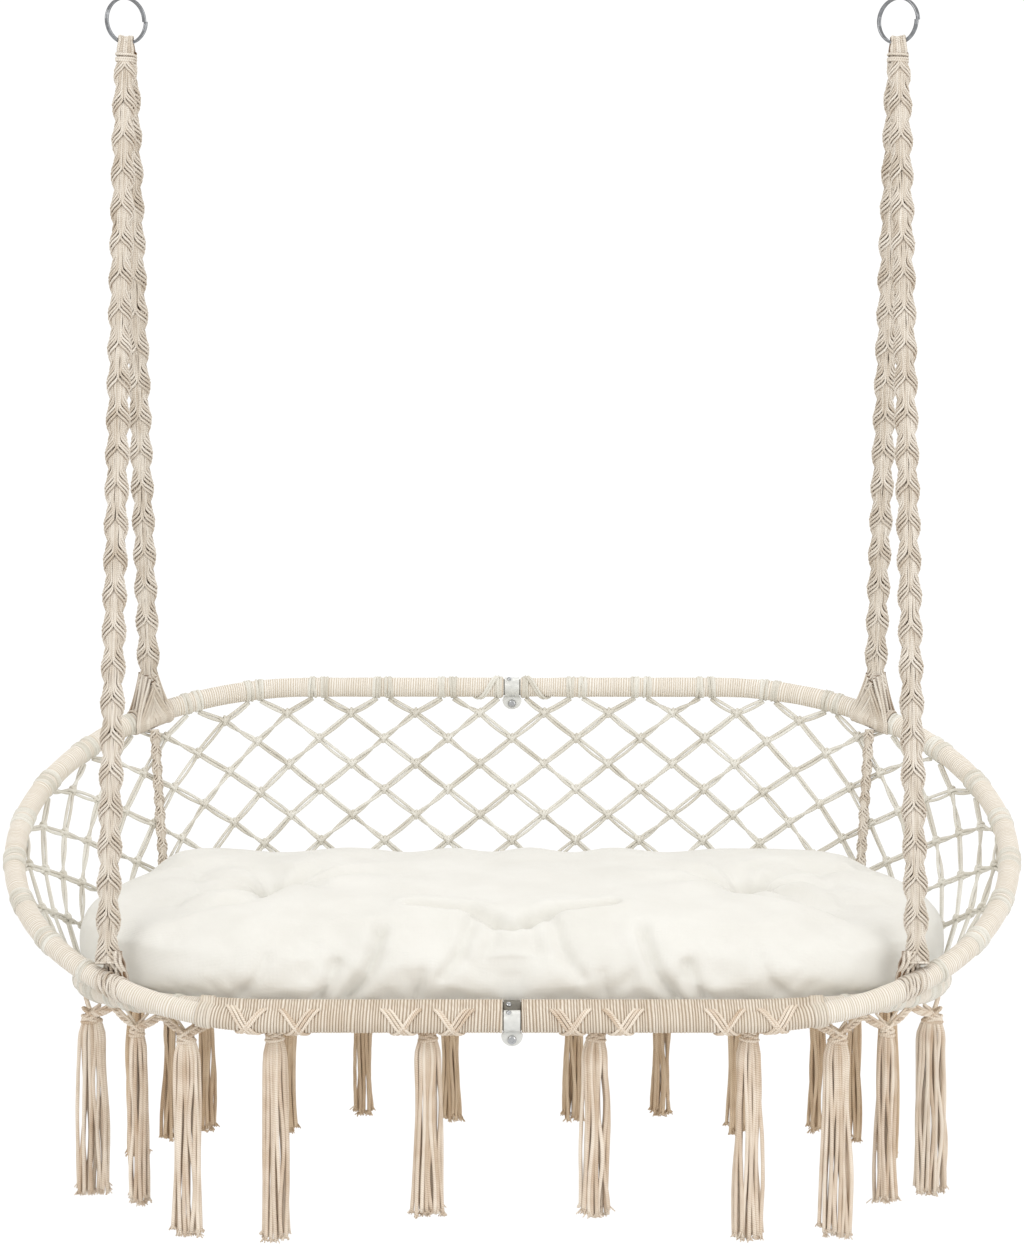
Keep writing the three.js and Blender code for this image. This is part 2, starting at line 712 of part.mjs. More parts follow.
// End of a strut that reaches a hoop, or the knot of the next net
function backNetEnd(knot, side) {
  const [stepColumn, stepRow] = strutSteps[side];
  const next = allBackKnots.get(knotKey(knot.column + stepColumn, knot.row + stepRow));
  if (next) {
    if (side > 1) {
      return null;
    }
    const nextCorners = [next.across, next.down].map((direction) => direction.clone());
    const [across, down] = nextCorners;
    const back = towards(next.centre, knot.centre);
    const face = along(next.centre, back, fitGap);
    const topCorner = along(face, down, -knotHalfDiagonal);
    const sideCorner = along(face, across, -stepColumn * knotHalfDiagonal);
    const topEnd = [topCorner, next.normal];
    const sideEnd = [sideCorner, next.normal];
    return side === 0 ? [topEnd, sideEnd] : [sideEnd, topEnd];
  }
  const half = cordPairHalfWidth;
  if (stepRow < 0) {
    if (knot.row > 0) {
      return null;
    }
    const clampClear = earHalfWidth + fitGap + half;
    const spread = knot.run + stepColumn * hoopEndSpread;
    const run = Math.sign(spread) * Math.max(Math.abs(spread), clampClear);
    const left = netEdge(run - half, ruling(run - half).topClear);
    const right = netEdge(run + half, ruling(run + half).topClear);
    return [left, right];
  }
  let reach = 0.5;
  for (let i = 0; i < 30; i += 1) {
    const run = knot.run + stepColumn * backCellHalfWidth * reach;
    reach = (reach + (ruling(run).lowest - knot.drop) / backCellHalfHeight) / 2;
  }
  const run = knot.run + stepColumn * backCellHalfWidth * Math.min(reach, strutReachShare);
  const right = netEdge(run + half, ruling(run + half).lowest);
  const left = netEdge(run - half, ruling(run - half).lowest);
  return [right, left];
}
add('back_net', netGeometryOf(backKnots(-middleColumns, middleColumns), backNetEnd), cottonNet);
const sideNet = solid(netGeometryOf(backKnots(middleColumns + 1, lastColumn), backNetEnd));

// The side net is trimmed round the rope feet, and its loose ends there are dropped
const footGap = 2 * fitGap;
const rearSpace = footFlare(rearFootPoint, rearLine, rearFootStation, rearFlareHalf, rearPivotRise, footGap);
const frontSpace = footFlare(frontFootPoint, frontLine, frontFootStation, frontFlareHalf, frontPivotRise, footGap);
const trimmed = sideNet.subtract(rearSpace).subtract(frontSpace).decompose();
trimmed.sort((a, b) => b.volume() - a.volume());
addPair('side_net', geometryOf(trimmed[0]), cottonNet);

// Seat net, level inside the seat hoop
function seatEdgeDistance(x, y) {
  const end = Math.max(Math.abs(x) - seatHoop.halfStraight, 0);
  const facet = Math.cos(Math.PI / 2 / bendSegments);
  return seatHoop.bendRadius * facet - Math.hypot(end, y - seatHoop.centreY);
}
const seatKnots = new Map();
const seatColumns = Math.ceil((seatHoop.halfStraight + seatHoop.bendRadius) / seatCellHalfWidth);
const seatRows = Math.ceil(seatHoop.bendRadius / seatCellHalfDepth);
for (let column = -seatColumns; column <= seatColumns; column += 1) {
  for (let row = -seatRows; row <= seatRows; row += 1) {
    const centre = at(column * seatCellHalfWidth, seatHoop.centreY + row * seatCellHalfDepth, seatHoop.centreZ);
    const clear = seatEdgeDistance(centre.x, centre.y) > netClear + 2 * knotEdgeMargin;
    if ((column + row) % 2 === 0 && clear) {
      const frame = { across: axisX, down: axisY, normal: axisZ };
      seatKnots.set(knotKey(column, row), { column, row, centre, ...frame });
    }
  }
}
function seatNetEnd(knot, side) {
  const [stepColumn, stepRow] = strutSteps[side];
  const step = at(stepColumn * seatCellHalfWidth, stepRow * seatCellHalfDepth, 0);
  const outwardsFrom = (point) => {
    const end = Math.sign(point.x) * Math.max(Math.abs(point.x) - seatHoop.halfStraight, 0);
    return at(end, point.y - seatHoop.centreY, 0).normalize();
  };
  const reached = along(knot.centre, step, strutReachShare);
  const beyond = seatEdgeDistance(reached.x, reached.y) > netClear;
  const start = beyond ? reached : knot.centre;
  const heading = beyond ? outwardsFrom(reached).multiplyScalar(seatHoop.bendRadius) : step;
  let low = 0;
  let high = 1;
  for (let i = 0; i < 40; i += 1) {
    const middle = (low + high) / 2;
    const point = along(start, heading, middle);
    if (seatEdgeDistance(point.x, point.y) > netClear) {
      low = middle;
    } else {
      high = middle;
    }
  }
  const edge = along(start, heading, low);
  const beside = axisZ.clone().cross(outwardsFrom(edge));
  const first = along(edge, beside, -cordPairHalfWidth);
  const second = along(edge, beside, cordPairHalfWidth);
  return [[first, axisZ], [second, axisZ]];
}
add('seat_net', netGeometryOf(seatKnots, seatNetEnd), cottonNet);

// Rear straps, from the rear rope feet down to the seat hoop on the inside of the netting
const strapStation = rearStation(seatHoop, strapSeatX);
const strapSeat = hoopPoint(seatHoop, strapStation);
const strapInwards = at(-strapSeat.x - seatHoop.halfStraight, hoopShiftY - strapSeat.y, 0).normalize();
const strapDown = towards(rearFootPoint, strapSeat);
const strapTop = along(rearFootPoint, strapDown, saddleRadius + footWall).addScaledVector(strapInwards, strapSetIn);
const strapEnd = along(strapSeat, axisZ, netClear).addScaledVector(strapInwards, strapSetIn);
const strapBeside = strapInwards.clone().cross(axisZ);
const strapRings = [strapTop, strapEnd].map((point) => {
  const halfWidth = strapHalfWidth * Math.SQRT2;
  return ring(point, strapBeside, strapInwards, halfWidth, strapHalfThickness * Math.SQRT2, 4);
});
addPair('rear_strap', loft(strapRings), cottonRope);

// Fringe: a knotted cord under the seat hoop, dipping at each tassel that hangs from it
function underHoop(distance, front, drop) {
  const station = front ? frontStation(seatHoop, distance) : rearStation(seatHoop, distance);
  const point = hoopPoint(seatHoop, station);
  let down = axisZ.clone().negate();
  let bottom = windingRadius * Math.cos(Math.PI / tubeSides);
  if (front && distance <= lashingHalfLength) {
    const span = towards(point, hoopPoint(backHoop, frontStation(backHoop, distance)));
    down = axisX.clone().cross(span);
    down.x = 0;
    down.normalize();
    down.multiplyScalar(-Math.sign(down.z));
    bottom = lashingOuter + 2 * fitGap;
  }
  return along(point, down, bottom + drop);
}
function fringe(placeShares, widths, drops, front) {
  const places = placeShares.map((share) => share * seatHoopEnd);
  const high = fitGap + chainRadius * Math.cos(Math.PI / chainSides);
  const low = high + chainDip;
  const path = [];
  places.forEach((distance, i) => {
    const outerGap = i > 0 ? (places[i - 1] - distance) / 2 : chainDipHalfSpan;
    const innerGap = i < places.length - 1 ? (distance - places[i + 1]) / 2 : chainDipHalfSpan;
    const outerX = Math.min(distance + Math.min(outerGap, chainDipHalfSpan), seatHoopEnd);
    if (i === 0 || outerGap > chainDipHalfSpan) {
      path.push(underHoop(outerX, front, high));
    }
    path.push(underHoop(distance, front, low));
    path.push(underHoop(distance - Math.min(innerGap, chainDipHalfSpan), front, high));
  });
  let whole = solid(solidTube(path, axisZ, chainRadius, chainSides));
  places.forEach((distance, place) => {
    const top = underHoop(distance, front, low - chainRadius / 2);
    const length = top.z - seatHoop.centreZ + drops[place];
    const rings = tasselHeightShares.map((share, i) => {
      const centre = along(top, axisZ, -share * length);
      const radius = (tasselRadiusShares[i] * widths[place]) / 2;
      return ring(centre, axisX, axisY, radius, radius, tasselSides);
    });
    whole = whole.add(solid(loft(rings)));
  });
  return geometryOf(whole);
}
const frontFringe = fringe(frontTasselPlaceShares, frontTasselWidths, frontTasselDrops, true);
const rearFringe = fringe(rearTasselPlaceShares, rearTasselWidths, rearTasselDrops, false);
addPair('front_fringe', frontFringe, tasselCotton);
addPair('rear_fringe', rearFringe, tasselCotton);

// Cushion: racetrack plan with bulging sides, a crown, two sewn tufts and a drawn-in front
const cushionBottom = seatHoop.centreZ + cordHalfThickness + fitGap;
const cushionStraight = cushionHalfLength - cushionHalfDepth;
function cushionPlace(share, straight, radius) {
  const total = 4 * cushionStraight + 2 * Math.PI * cushionHalfDepth;
  const distance = share * total;
  const quarter = cushionStraight;
  const bend = Math.PI * cushionHalfDepth;
  if (distance < quarter) {
    return [(straight * distance) / quarter, -radius];
  }
  if (distance < quarter + bend) {
    const angle = (distance - quarter) / cushionHalfDepth;
    return [straight + radius * Math.sin(angle), -radius * Math.cos(angle)];
  }
  if (distance < 3 * quarter + bend) {
    const back = (distance - quarter - bend) / quarter;
    return [straight * (1 - back), radius];
  }
  if (distance < 3 * quarter + 2 * bend) {
    const angle = (distance - 3 * quarter - bend) / cushionHalfDepth;
    return [-straight - radius * Math.sin(angle), radius * Math.cos(angle)];
  }
  const last = (distance - 3 * quarter - 2 * bend) / quarter;
  return [-straight * (1 - last), -radius];
}
function cushionRing(straight, radius, height) {
  const points = [];
  for (let i = 0; i < cushionSteps; i += 1) {
    const [x, y] = cushionPlace(i / cushionSteps, straight, radius);
    const point = at(x, cushionCentreY + y, cushionBottom + height(x, y));
    const fold = Math.exp(-((x / foldSpread) ** 2));
    const front = Math.max(-y / cushionHalfDepth, 0) ** 8;
    const midHeight = Math.sin((Math.PI * (point.z - cushionBottom)) / cushionSideHeight);
    point.y += foldDepth * fold * front * Math.max(midHeight, 0);
    points.push(point);
  }
  return points;
}
const cushionRings = sideInsetShares.map((share, i) => {
  const inset = share * cushionEdgeInset;
  const height = sideHeightShares[i] * cushionSideHeight;
  return cushionRing(cushionStraight, cushionHalfDepth - inset, () => height);
});
for (const shrink of topShrinkShares) {
  const radius = (cushionHalfDepth - cushionEdgeInset) * shrink;
  cushionRings.push(cushionRing(cushionStraight * shrink, radius, (x, y) => {
    const crown = cushionCrown * Math.sin(((1 - shrink ** 2) * Math.PI) / 2);
    const tufts = [-tuftX, tuftX].map((place) => {
      const away = Math.hypot(x - place, y + cushionCentreY - tuftY);
      return tuftDepth * Math.exp(-((away / tuftSpread) ** 2));
    });
    return cushionSideHeight + crown - tufts[0] - tufts[1];
  }));
}
add('seat_cushion', loft(cushionRings), canvas);

export default group;
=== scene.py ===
import math
import bpy
import numpy as np
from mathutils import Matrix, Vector


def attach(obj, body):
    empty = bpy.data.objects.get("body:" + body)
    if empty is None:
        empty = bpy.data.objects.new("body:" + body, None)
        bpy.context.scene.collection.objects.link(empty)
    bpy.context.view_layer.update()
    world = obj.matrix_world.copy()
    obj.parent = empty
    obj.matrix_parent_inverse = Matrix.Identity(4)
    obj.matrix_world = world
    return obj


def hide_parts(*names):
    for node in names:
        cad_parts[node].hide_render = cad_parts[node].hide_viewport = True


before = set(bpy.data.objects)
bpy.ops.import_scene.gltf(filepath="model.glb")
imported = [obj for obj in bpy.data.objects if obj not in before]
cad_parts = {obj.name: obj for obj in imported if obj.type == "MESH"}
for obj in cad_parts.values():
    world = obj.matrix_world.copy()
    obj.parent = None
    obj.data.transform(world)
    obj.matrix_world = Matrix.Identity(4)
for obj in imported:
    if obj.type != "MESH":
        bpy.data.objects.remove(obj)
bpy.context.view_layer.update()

scene = bpy.context.scene
bpy.ops.object.select_all(action="DESELECT")

# Studio: a pale floor that curves up behind the chair, and soft light from large lamps.
# The chair hangs in the air, so its shadow on the floor is faint.
FLOOR_Z = -2.35


def apply_modifier(obj, kind, **settings):
    """Add a modifier with these settings to the active object, and apply it."""
    modifier = obj.modifiers.new(kind.lower(), kind)
    for name, value in settings.items():
        setattr(modifier, name, value)
    bpy.ops.object.modifier_apply(modifier=modifier.name)


def add_node(tree, kind, inputs=None, **settings):
    """Shader node with its settings; an input is given a value, or the output of another node."""
    node = tree.nodes.new(kind)
    for name, value in settings.items():
        setattr(node, name, value)
    for name, value in (inputs or {}).items():
        if isinstance(value, bpy.types.NodeSocket):
            tree.links.new(value, node.inputs[name])
        else:
            node.inputs[name].default_value = value
    return node


bpy.ops.mesh.primitive_plane_add(size=24, location=(0, 3, FLOOR_Z))
floor = bpy.context.object
floor.name = "studio_floor"
bpy.ops.object.mode_set(mode="EDIT")
bpy.ops.mesh.select_all(action="DESELECT")
bpy.ops.object.mode_set(mode="OBJECT")
for edge in floor.data.edges:
    edge.select = all(floor.data.vertices[i].co.y > 1 for i in edge.vertices)
bpy.ops.object.mode_set(mode="EDIT")
bpy.ops.mesh.extrude_region_move(TRANSFORM_OT_translate={"value": (0, 0, 14)})
bpy.ops.object.mode_set(mode="OBJECT")
apply_modifier(floor, "BEVEL", width=5, segments=16, limit_method="ANGLE")
bpy.ops.object.shade_smooth()
paper = bpy.data.materials.new("studio_paper")
paper.use_nodes = True
paper.node_tree.nodes.clear()
PAPER_GLOW = 1.08
PAPER_SHARE = 0.93
rays = add_node(paper.node_tree, "ShaderNodeLightPath").outputs
seen = add_node(paper.node_tree, "ShaderNodeMath", {0: rays["Is Camera Ray"], 1: rays["Is Glossy Ray"]},
                operation="MAXIMUM")
share = add_node(paper.node_tree, "ShaderNodeMath", {0: seen.outputs[0], 1: PAPER_SHARE}, operation="MULTIPLY")
lit = add_node(paper.node_tree, "ShaderNodeBsdfDiffuse", {"Color": (0.86, 0.86, 0.86, 1)})
glow = add_node(paper.node_tree, "ShaderNodeEmission", {"Color": (1, 1, 1, 1), "Strength": PAPER_GLOW})
shown = add_node(paper.node_tree, "ShaderNodeMixShader",
                 {"Fac": share.outputs[0], 1: lit.outputs[0], 2: glow.outputs[0]})
add_node(paper.node_tree, "ShaderNodeOutputMaterial", {"Surface": shown.outputs[0]})
floor.data.materials.append(paper)
floor.select_set(False)

world = bpy.data.worlds.new("studio_air")
scene.world = world
world.use_nodes = True
world.node_tree.nodes["Background"].inputs["Color"].default_value = (1.0, 0.99, 0.97, 1)
world.node_tree.nodes["Background"].inputs["Strength"].default_value = 0.88

LAMPS = (
    ("key_softbox", (-2.6, -3.4, 1.9), (0, 0, -1.0), 2.4, 50, (1.0, 0.99, 0.975)),
    ("fill_softbox", (2.9, -3.2, 0.2), (0, 0, -1.0), 2.8, 44, (1.0, 0.995, 0.99)),
    ("top_softbox", (0.2, 1.6, 2.4), (0, 0, -1.1), 2.6, 24, (1.0, 1.0, 1.0)),
)
for lamp_name, place, aim, size, power, tint in LAMPS:
    lamp = bpy.data.lights.new(lamp_name, "AREA")
    lamp.size = size
    lamp.energy = power
    lamp.color = tint
    lamp_object = bpy.data.objects.new(lamp_name, lamp)
    scene.collection.objects.link(lamp_object)
    lamp_object.location = place
    lamp_object.rotation_euler = (Vector(aim) - Vector(place)).to_track_quat("-Z", "Y").to_euler()

# Camera: fitted to the photograph, in front of the chair and looking a little down.
CAMERA_DOWN = 3.7
camera_data = bpy.data.cameras.new("photo_camera")
camera_data.lens = 107.86
camera_data.sensor_width = 36
camera_data.clip_end = 60
camera = bpy.data.objects.new("photo_camera", camera_data)
scene.collection.objects.link(camera)
camera.location = (0, -4.8, -0.484)
camera.rotation_euler = (math.radians(90 - CAMERA_DOWN), 0, 0)
scene.camera = camera
scene.view_settings.view_transform = "Standard"

# Hoop tubes: two rings of steel tube bent to a racetrack, each in two halves over a joiner sleeve.
# The back hoop is tilted up behind the sitter; the seat hoop is level and nests behind its front tube.
# The tube is painted, and shows only where the winding stops beside a clamp.
MM = 0.001
SHIFT_Y = 8.0
BACK = {"straight": 275.5, "bend": 361.0, "tilt": math.radians(29.24), "y": SHIFT_Y, "z": -1071.9}
SEAT = {"straight": 268.0, "bend": 280.0, "tilt": 0.0, "y": SHIFT_Y - 9.0, "z": -1240.0}
HOOPS = ((BACK, "back_hoop"), (SEAT, "seat_hoop"))
SIDES = ((1, "left"), (-1, "right"))
TUBE_R = 11.0
TUBE_WALL = 1.5
HALF_JOINT = 0.15


def srgb(r, g, b):
    """Linear colour, with its alpha, of a screen colour from 0 to 255."""
    linear = [c / 255 / 12.92 if c < 11 else ((c / 255 + 0.055) / 1.055) ** 2.4 for c in (r, g, b)]
    return (*linear, 1.0)


def speckled_metal(name, dark, light, metallic, rough_low, rough_high, scale):
    """Metal whose tone and roughness vary a little from place to place."""
    material = bpy.data.materials.new(name)
    material.use_nodes = True
    tree = material.node_tree
    shader = tree.nodes["Principled BSDF"]
    shader.inputs["Metallic"].default_value = metallic
    place = add_node(tree, "ShaderNodeTexCoord").outputs["Object"]
    speck = add_node(tree, "ShaderNodeTexNoise", {"Scale": scale, "Detail": 4, "Vector": place}).outputs["Fac"]
    tones = {"A": srgb(*dark), "B": srgb(*light), "Factor": speck}
    tone = add_node(tree, "ShaderNodeMix", tones, data_type="RGBA")
    rough = add_node(tree, "ShaderNodeMapRange", {"To Min": rough_low, "To Max": rough_high, "Value": speck})
    tree.links.new(tone.outputs["Result"], shader.inputs["Base Color"])
    tree.links.new(rough.outputs["Result"], shader.inputs["Roughness"])
    return material


def select_only(*objects):
    """Select these objects alone, the first one active."""
    bpy.ops.object.select_all(action="DESELECT")
    for obj in objects:
        obj.select_set(True)
    bpy.context.view_layer.objects.active = objects[0]


def keep_piece(obj, name, material, body, nodes_replaced, smooth=40):
    """Finish a modelled piece: origin at zero, smooth by angle, its material and its body."""
    obj.name = name
    select_only(obj)
    bpy.ops.object.transform_apply(location=True, rotation=True, scale=True)
    bpy.ops.object.shade_smooth_by_angle(angle=math.radians(smooth))
    obj.data.materials.clear()
    obj.data.materials.append(material)
    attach(obj, body)
    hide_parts(*nodes_replaced)
    obj.select_set(False)


tube_paint = speckled_metal("tube_paint", (104, 101, 94), (136, 132, 122), 0.5, 0.36, 0.55, 420)
for side, word in SIDES:
    for hoop, label in HOOPS:
        centre = (-side * hoop["straight"] * MM, hoop["y"] * MM, hoop["z"] * MM)
        bpy.ops.object.select_all(action="DESELECT")
        bpy.ops.mesh.primitive_torus_add(major_segments=146, minor_segments=28, major_radius=hoop["bend"] * MM,
                                         minor_radius=TUBE_R * MM, location=centre, rotation=(hoop["tilt"], 0, 0))
        tube = bpy.context.object
        bpy.ops.object.mode_set(mode="EDIT")
        bpy.ops.mesh.select_all(action="SELECT")
        bpy.ops.mesh.bisect(plane_co=centre, plane_no=(side, 0, 0), clear_outer=True)
        bpy.ops.mesh.select_all(action="DESELECT")
        bpy.ops.mesh.select_non_manifold()
        reach = side * (hoop["straight"] - HALF_JOINT) * MM
        bpy.ops.mesh.extrude_region_move(TRANSFORM_OT_translate={"value": (reach, 0, 0)})
        bpy.ops.mesh.select_all(action="SELECT")
        bpy.ops.mesh.normals_make_consistent(inside=False)
        bpy.ops.object.mode_set(mode="OBJECT")
        apply_modifier(tube, "SOLIDIFY", thickness=TUBE_WALL * MM, offset=-1)
        keep_piece(tube, f"{word}_{label}_steel_tube", tube_paint, "seat_frame",
                   [f"{word}_{label}_tube"])
for label in ("back_hoop", "seat_hoop"):
    for place in ("rear", "front"):
        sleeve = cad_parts[f"{label}_{place}_joiner"]
        sleeve.data.materials.clear()
        sleeve.data.materials.append(tube_paint)

# Winding: white cotton cord laid turn by turn over each tube, from beside the rear clamp to the
# front lashing. The turns lie close, wander a little, and differ in tone from one to the next.
WINDING_R = 13.5
TURN_PITCH = 3.1
CLAMP_GAP = 11.5
LASHING_X = 369.0
chance = np.random.default_rng(11)


def hoop_line(hoop, run):
    """Points of a hoop's centre line at these distances from its rear centre, positive to the left."""
    run = np.asarray(run, float)
    far, straight, bend = np.abs(run), hoop["straight"], hoop["bend"]
    angle = np.clip((far - straight) / bend, 0, math.pi)
    x = np.where(far < straight, far, straight + bend * np.sin(angle))
    beyond = far - straight - math.pi * bend
    x = np.where(beyond > 0, straight - beyond, x)
    v = bend * np.cos(angle)
    side = np.where(run < 0, 1.0, -1.0)
    y = hoop["y"] + v * math.cos(hoop["tilt"])
    z = hoop["z"] + v * math.sin(hoop["tilt"])
    return np.stack([side * x, y, z], -1)


def run_at(hoop, x, front):
    """Distance along a hoop from its rear centre to where it passes this x."""
    straight, bend = hoop["straight"], hoop["bend"]
    if x <= straight:
        return 2 * straight + math.pi * bend - x if front else x
    angle = math.asin(min((x - straight) / bend, 1))
    return straight + bend * (math.pi - angle if front else angle)


def unit(v):
    return v / np.maximum(np.linalg.norm(v, axis=-1, keepdims=True), 1e-9)


def hoop_way(hoop, run):
    """Direction of a hoop's centre line at this distance."""
    return unit(hoop_line(hoop, run + 1) - hoop_line(hoop, run - 1))


def hoop_normal(hoop):
    return np.array([0, -math.sin(hoop["tilt"]), math.cos(hoop["tilt"])])


def arms(angle, a, b):
    """Directions at these angles round an axis, from a towards b."""
    return np.cos(angle)[:, None] * a + np.sin(angle)[:, None] * b


def skin(rings, u, v, wrap, caps=True, closed=False):
    """Quads over rings of points (K bundles, N rings, S points); u and v are their texture places."""
    K, N, S, _ = rings.shape
    idx = np.arange(K * N * S).reshape(K, N, S)
    u = np.broadcast_to(u, (K, N, S))
    v = np.broadcast_to(v, (K, N, S))
    u_next = np.concatenate([u[..., 1:], u[..., :1] + wrap[0]], -1)
    v_next = np.concatenate([v[..., 1:], v[..., :1] + wrap[1]], -1)
    uv_here, uv_next = np.stack([u, v], -1), np.stack([u_next, v_next], -1)
    if closed:
        step = np.array([0.0, 1.0]) * (v[:, -1:, :1] - v[:, :1, :1])[..., None] / max(N - 1, 1)
        along = np.concatenate([uv_here[:, 1:], uv_here[:, -1:] + step], 1)
        along_next = np.concatenate([uv_next[:, 1:], uv_next[:, -1:] + step], 1)
        a, b = idx, np.roll(idx, -1, axis=1)
        uv = np.stack([uv_here, uv_next, along_next, along], -2)
    else:
        a, b = idx[:, :-1], idx[:, 1:]
        uv = np.stack([uv_here[:, :-1], uv_next[:, :-1], uv_next[:, 1:], uv_here[:, 1:]], -2)
    quads = np.stack([a, np.roll(a, -1, axis=2), np.roll(b, -1, axis=2), b], -1)
    ends = []
    if caps and not closed:
        ends = [list(row) for row in idx[:, 0, ::-1]] + [list(row) for row in idx[:, -1]]
    return rings.reshape(-1, 3), quads.reshape(-1, 4), ends, uv.reshape(-1, 2)


def cords(paths, radius, sides=7, lobes=0, depth=0.0, lay=0.0, closed=False, inward=None):
    """Round or lobed cords swept along paths (K cords, N points), with frames that don't spin."""
    paths = np.asarray(paths, float)
    if paths.ndim == 2:
        paths = paths[None]
    K, N, _ = paths.shape
    if closed:
        tangent = unit(np.roll(paths, -1, axis=1) - np.roll(paths, 1, axis=1))
    else:
        tangent = unit(np.gradient(paths, axis=1))
    # With an inward direction, u = 0 is the side of a cord that faces its neighbours, where the yarn paints
    # shade.
    if inward is not None:
        normal = np.broadcast_to(inward, paths.shape)
        normal = unit(normal - (normal * tangent).sum(-1, keepdims=True) * tangent)
    else:
        start = np.where(np.abs(tangent[:, 0, 2:3]) < 0.9, [[0.0, 0, 1]], [[1.0, 0, 0]])
        normal = np.zeros_like(paths)
        normal[:, 0] = unit(start - (start * tangent[:, 0]).sum(-1, keepdims=True) * tangent[:, 0])
        for i in range(1, N):
            n = normal[:, i - 1]
            normal[:, i] = unit(n - (n * tangent[:, i]).sum(-1, keepdims=True) * tangent[:, i])
    side = np.cross(tangent, normal)
    steps = np.linalg.norm(np.diff(paths, axis=1), axis=-1)
    length = np.concatenate([np.zeros((K, 1)), np.cumsum(steps, axis=1)], axis=1)
    angle = np.arange(sides) * 2 * math.pi / sides
    r = np.broadcast_to(np.asarray(radius, float), (K, N))[..., None] * np.ones(sides)
    if lobes:
        r = r * (1 + depth * np.cos(lobes * (angle + lay * length[..., None])))
    rings = paths[:, :, None] + r[..., None] * arms(angle, normal[:, :, None], side[:, :, None])
    u = np.arange(sides) / sides + np.arange(K)[:, None, None]
    return skin(rings, u, length[..., None], (1.0, 0.0), caps=not closed, closed=closed)


def piece(name, chunks, material, body, nodes_replaced):
    """One mesh object from chunks of quads, in metres, riding on its body."""
    verts, faces, uvs, end_faces, end_uvs, base = [], [], [], [], [], 0
    for v, quads, ends, uv in chunks:
        verts.append(v)
        faces.extend((quads + base).tolist())
        uvs.append(uv)
        for end in ends:
            end_faces.append([i + base for i in end])
            end_uvs.append(np.zeros((len(end), 2)))
        base += len(v)
    mesh = bpy.data.meshes.new(name)
    mesh.from_pydata((np.concatenate(verts) * MM).tolist(), [], faces + end_faces)
    layer = mesh.uv_layers.new(name="UVMap")
    layer.data.foreach_set("uv", np.concatenate(uvs + end_uvs).astype(np.float32).ravel())
    mesh.polygons.foreach_set("use_smooth", np.ones(len(mesh.polygons), bool))
    mesh.materials.append(material)
    mesh.update()
    obj = bpy.data.objects.new(name, mesh)
    scene.collection.objects.link(obj)
    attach(obj, body)
    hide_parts(*nodes_replaced)


def yarn_group():
    """Shared look of cotton yarn: plies that run round the cord, painted shade in the gaps between turns and
    cords, fuzz and tone.
    """
    group = bpy.data.node_groups.new("cotton_yarn", "ShaderNodeTree")
    sockets = (
        ("Light", "NodeSocketColor", (0.8, 0.75, 0.68, 1)),
        ("Shade", "NodeSocketColor", (0.5, 0.42, 0.33, 1)),
        ("Gap Shade", "NodeSocketColor", (0.3, 0.22, 0.15, 1)),
        ("Plies", "NodeSocketFloat", 3.0),
        ("Lay", "NodeSocketFloat", 0.12),
        ("Groove", "NodeSocketFloat", 0.0),
        ("Groove Power", "NodeSocketFloat", 3.0),
        ("Twist", "NodeSocketFloat", 0.4),
        ("Relief", "NodeSocketFloat", 0.5),
    )
    for name, kind, value in sockets:
        group.interface.new_socket(name, in_out="INPUT", socket_type=kind).default_value = value
    group.interface.new_socket("Color", in_out="OUTPUT", socket_type="NodeSocketColor")
    group.interface.new_socket("Normal", in_out="OUTPUT", socket_type="NodeSocketVector")
    given, out = group.nodes.new("NodeGroupInput").outputs, group.nodes.new("NodeGroupOutput")
    place = add_node(group, "ShaderNodeTexCoord").outputs

    def math_node(kind, *values):
        return add_node(group, "ShaderNodeMath", dict(enumerate(values)), operation=kind).outputs[0]

    def mixed(factor, a, b):
        tones = {"Factor": factor, "A": a, "B": b}
        return add_node(group, "ShaderNodeMix", tones, data_type="RGBA", clamp_factor=True).outputs["Result"]

    def wave(phase):
        return math_node("ABSOLUTE", math_node("COSINE", math_node("MULTIPLY", phase, math.pi)))

    def noise(scale, detail):
        values = {"Scale": scale, "Detail": detail, "Vector": place["Object"]}
        return add_node(group, "ShaderNodeTexNoise", values).outputs["Fac"]

    split = add_node(group, "ShaderNodeSeparateXYZ", {0: place["UV"]})
    across, along = split.outputs["X"], split.outputs["Y"]
    cell = add_node(group, "ShaderNodeTexWhiteNoise", noise_dimensions="1D")
    group.links.new(math_node("FLOOR", across), cell.inputs["W"])
    cell = cell.outputs["Value"]
    turn = math_node("MULTIPLY_ADD", along, given["Lay"], math_node("MULTIPLY", across, given["Plies"]))
    ridge = wave(math_node("MULTIPLY_ADD", cell, 7.0, turn))
    fuzz, tone = noise(850, 3), noise(30, 4)
    # Painted shade: groove is the share of the gap colour laid where u is whole, in the groove between turns and
    # on a cord's inward side.
    groove = math_node("MULTIPLY", math_node("POWER", wave(across), given["Groove Power"]), given["Groove"])
    amount = math_node("MULTIPLY_ADD", math_node("SUBTRACT", ridge, 0.64), given["Twist"], -0.1)
    amount = math_node("MULTIPLY_ADD", tone, 0.9, amount)
    amount = math_node("MULTIPLY_ADD", fuzz, 0.25, amount)
    amount = math_node("MULTIPLY_ADD", cell, 0.5, math_node("ADD", amount, -0.07))
    height = math_node("MULTIPLY_ADD", fuzz, 0.6, ridge)
    bump = add_node(group, "ShaderNodeBump", {"Distance": 0.0007, "Strength": given["Relief"], "Height": height})
    yarn = mixed(amount, given["Shade"], given["Light"])
    group.links.new(mixed(groove, yarn, given["Gap Shade"]), out.inputs["Color"])
    group.links.new(bump.outputs["Normal"], out.inputs["Normal"])
    return group


YARN = yarn_group()
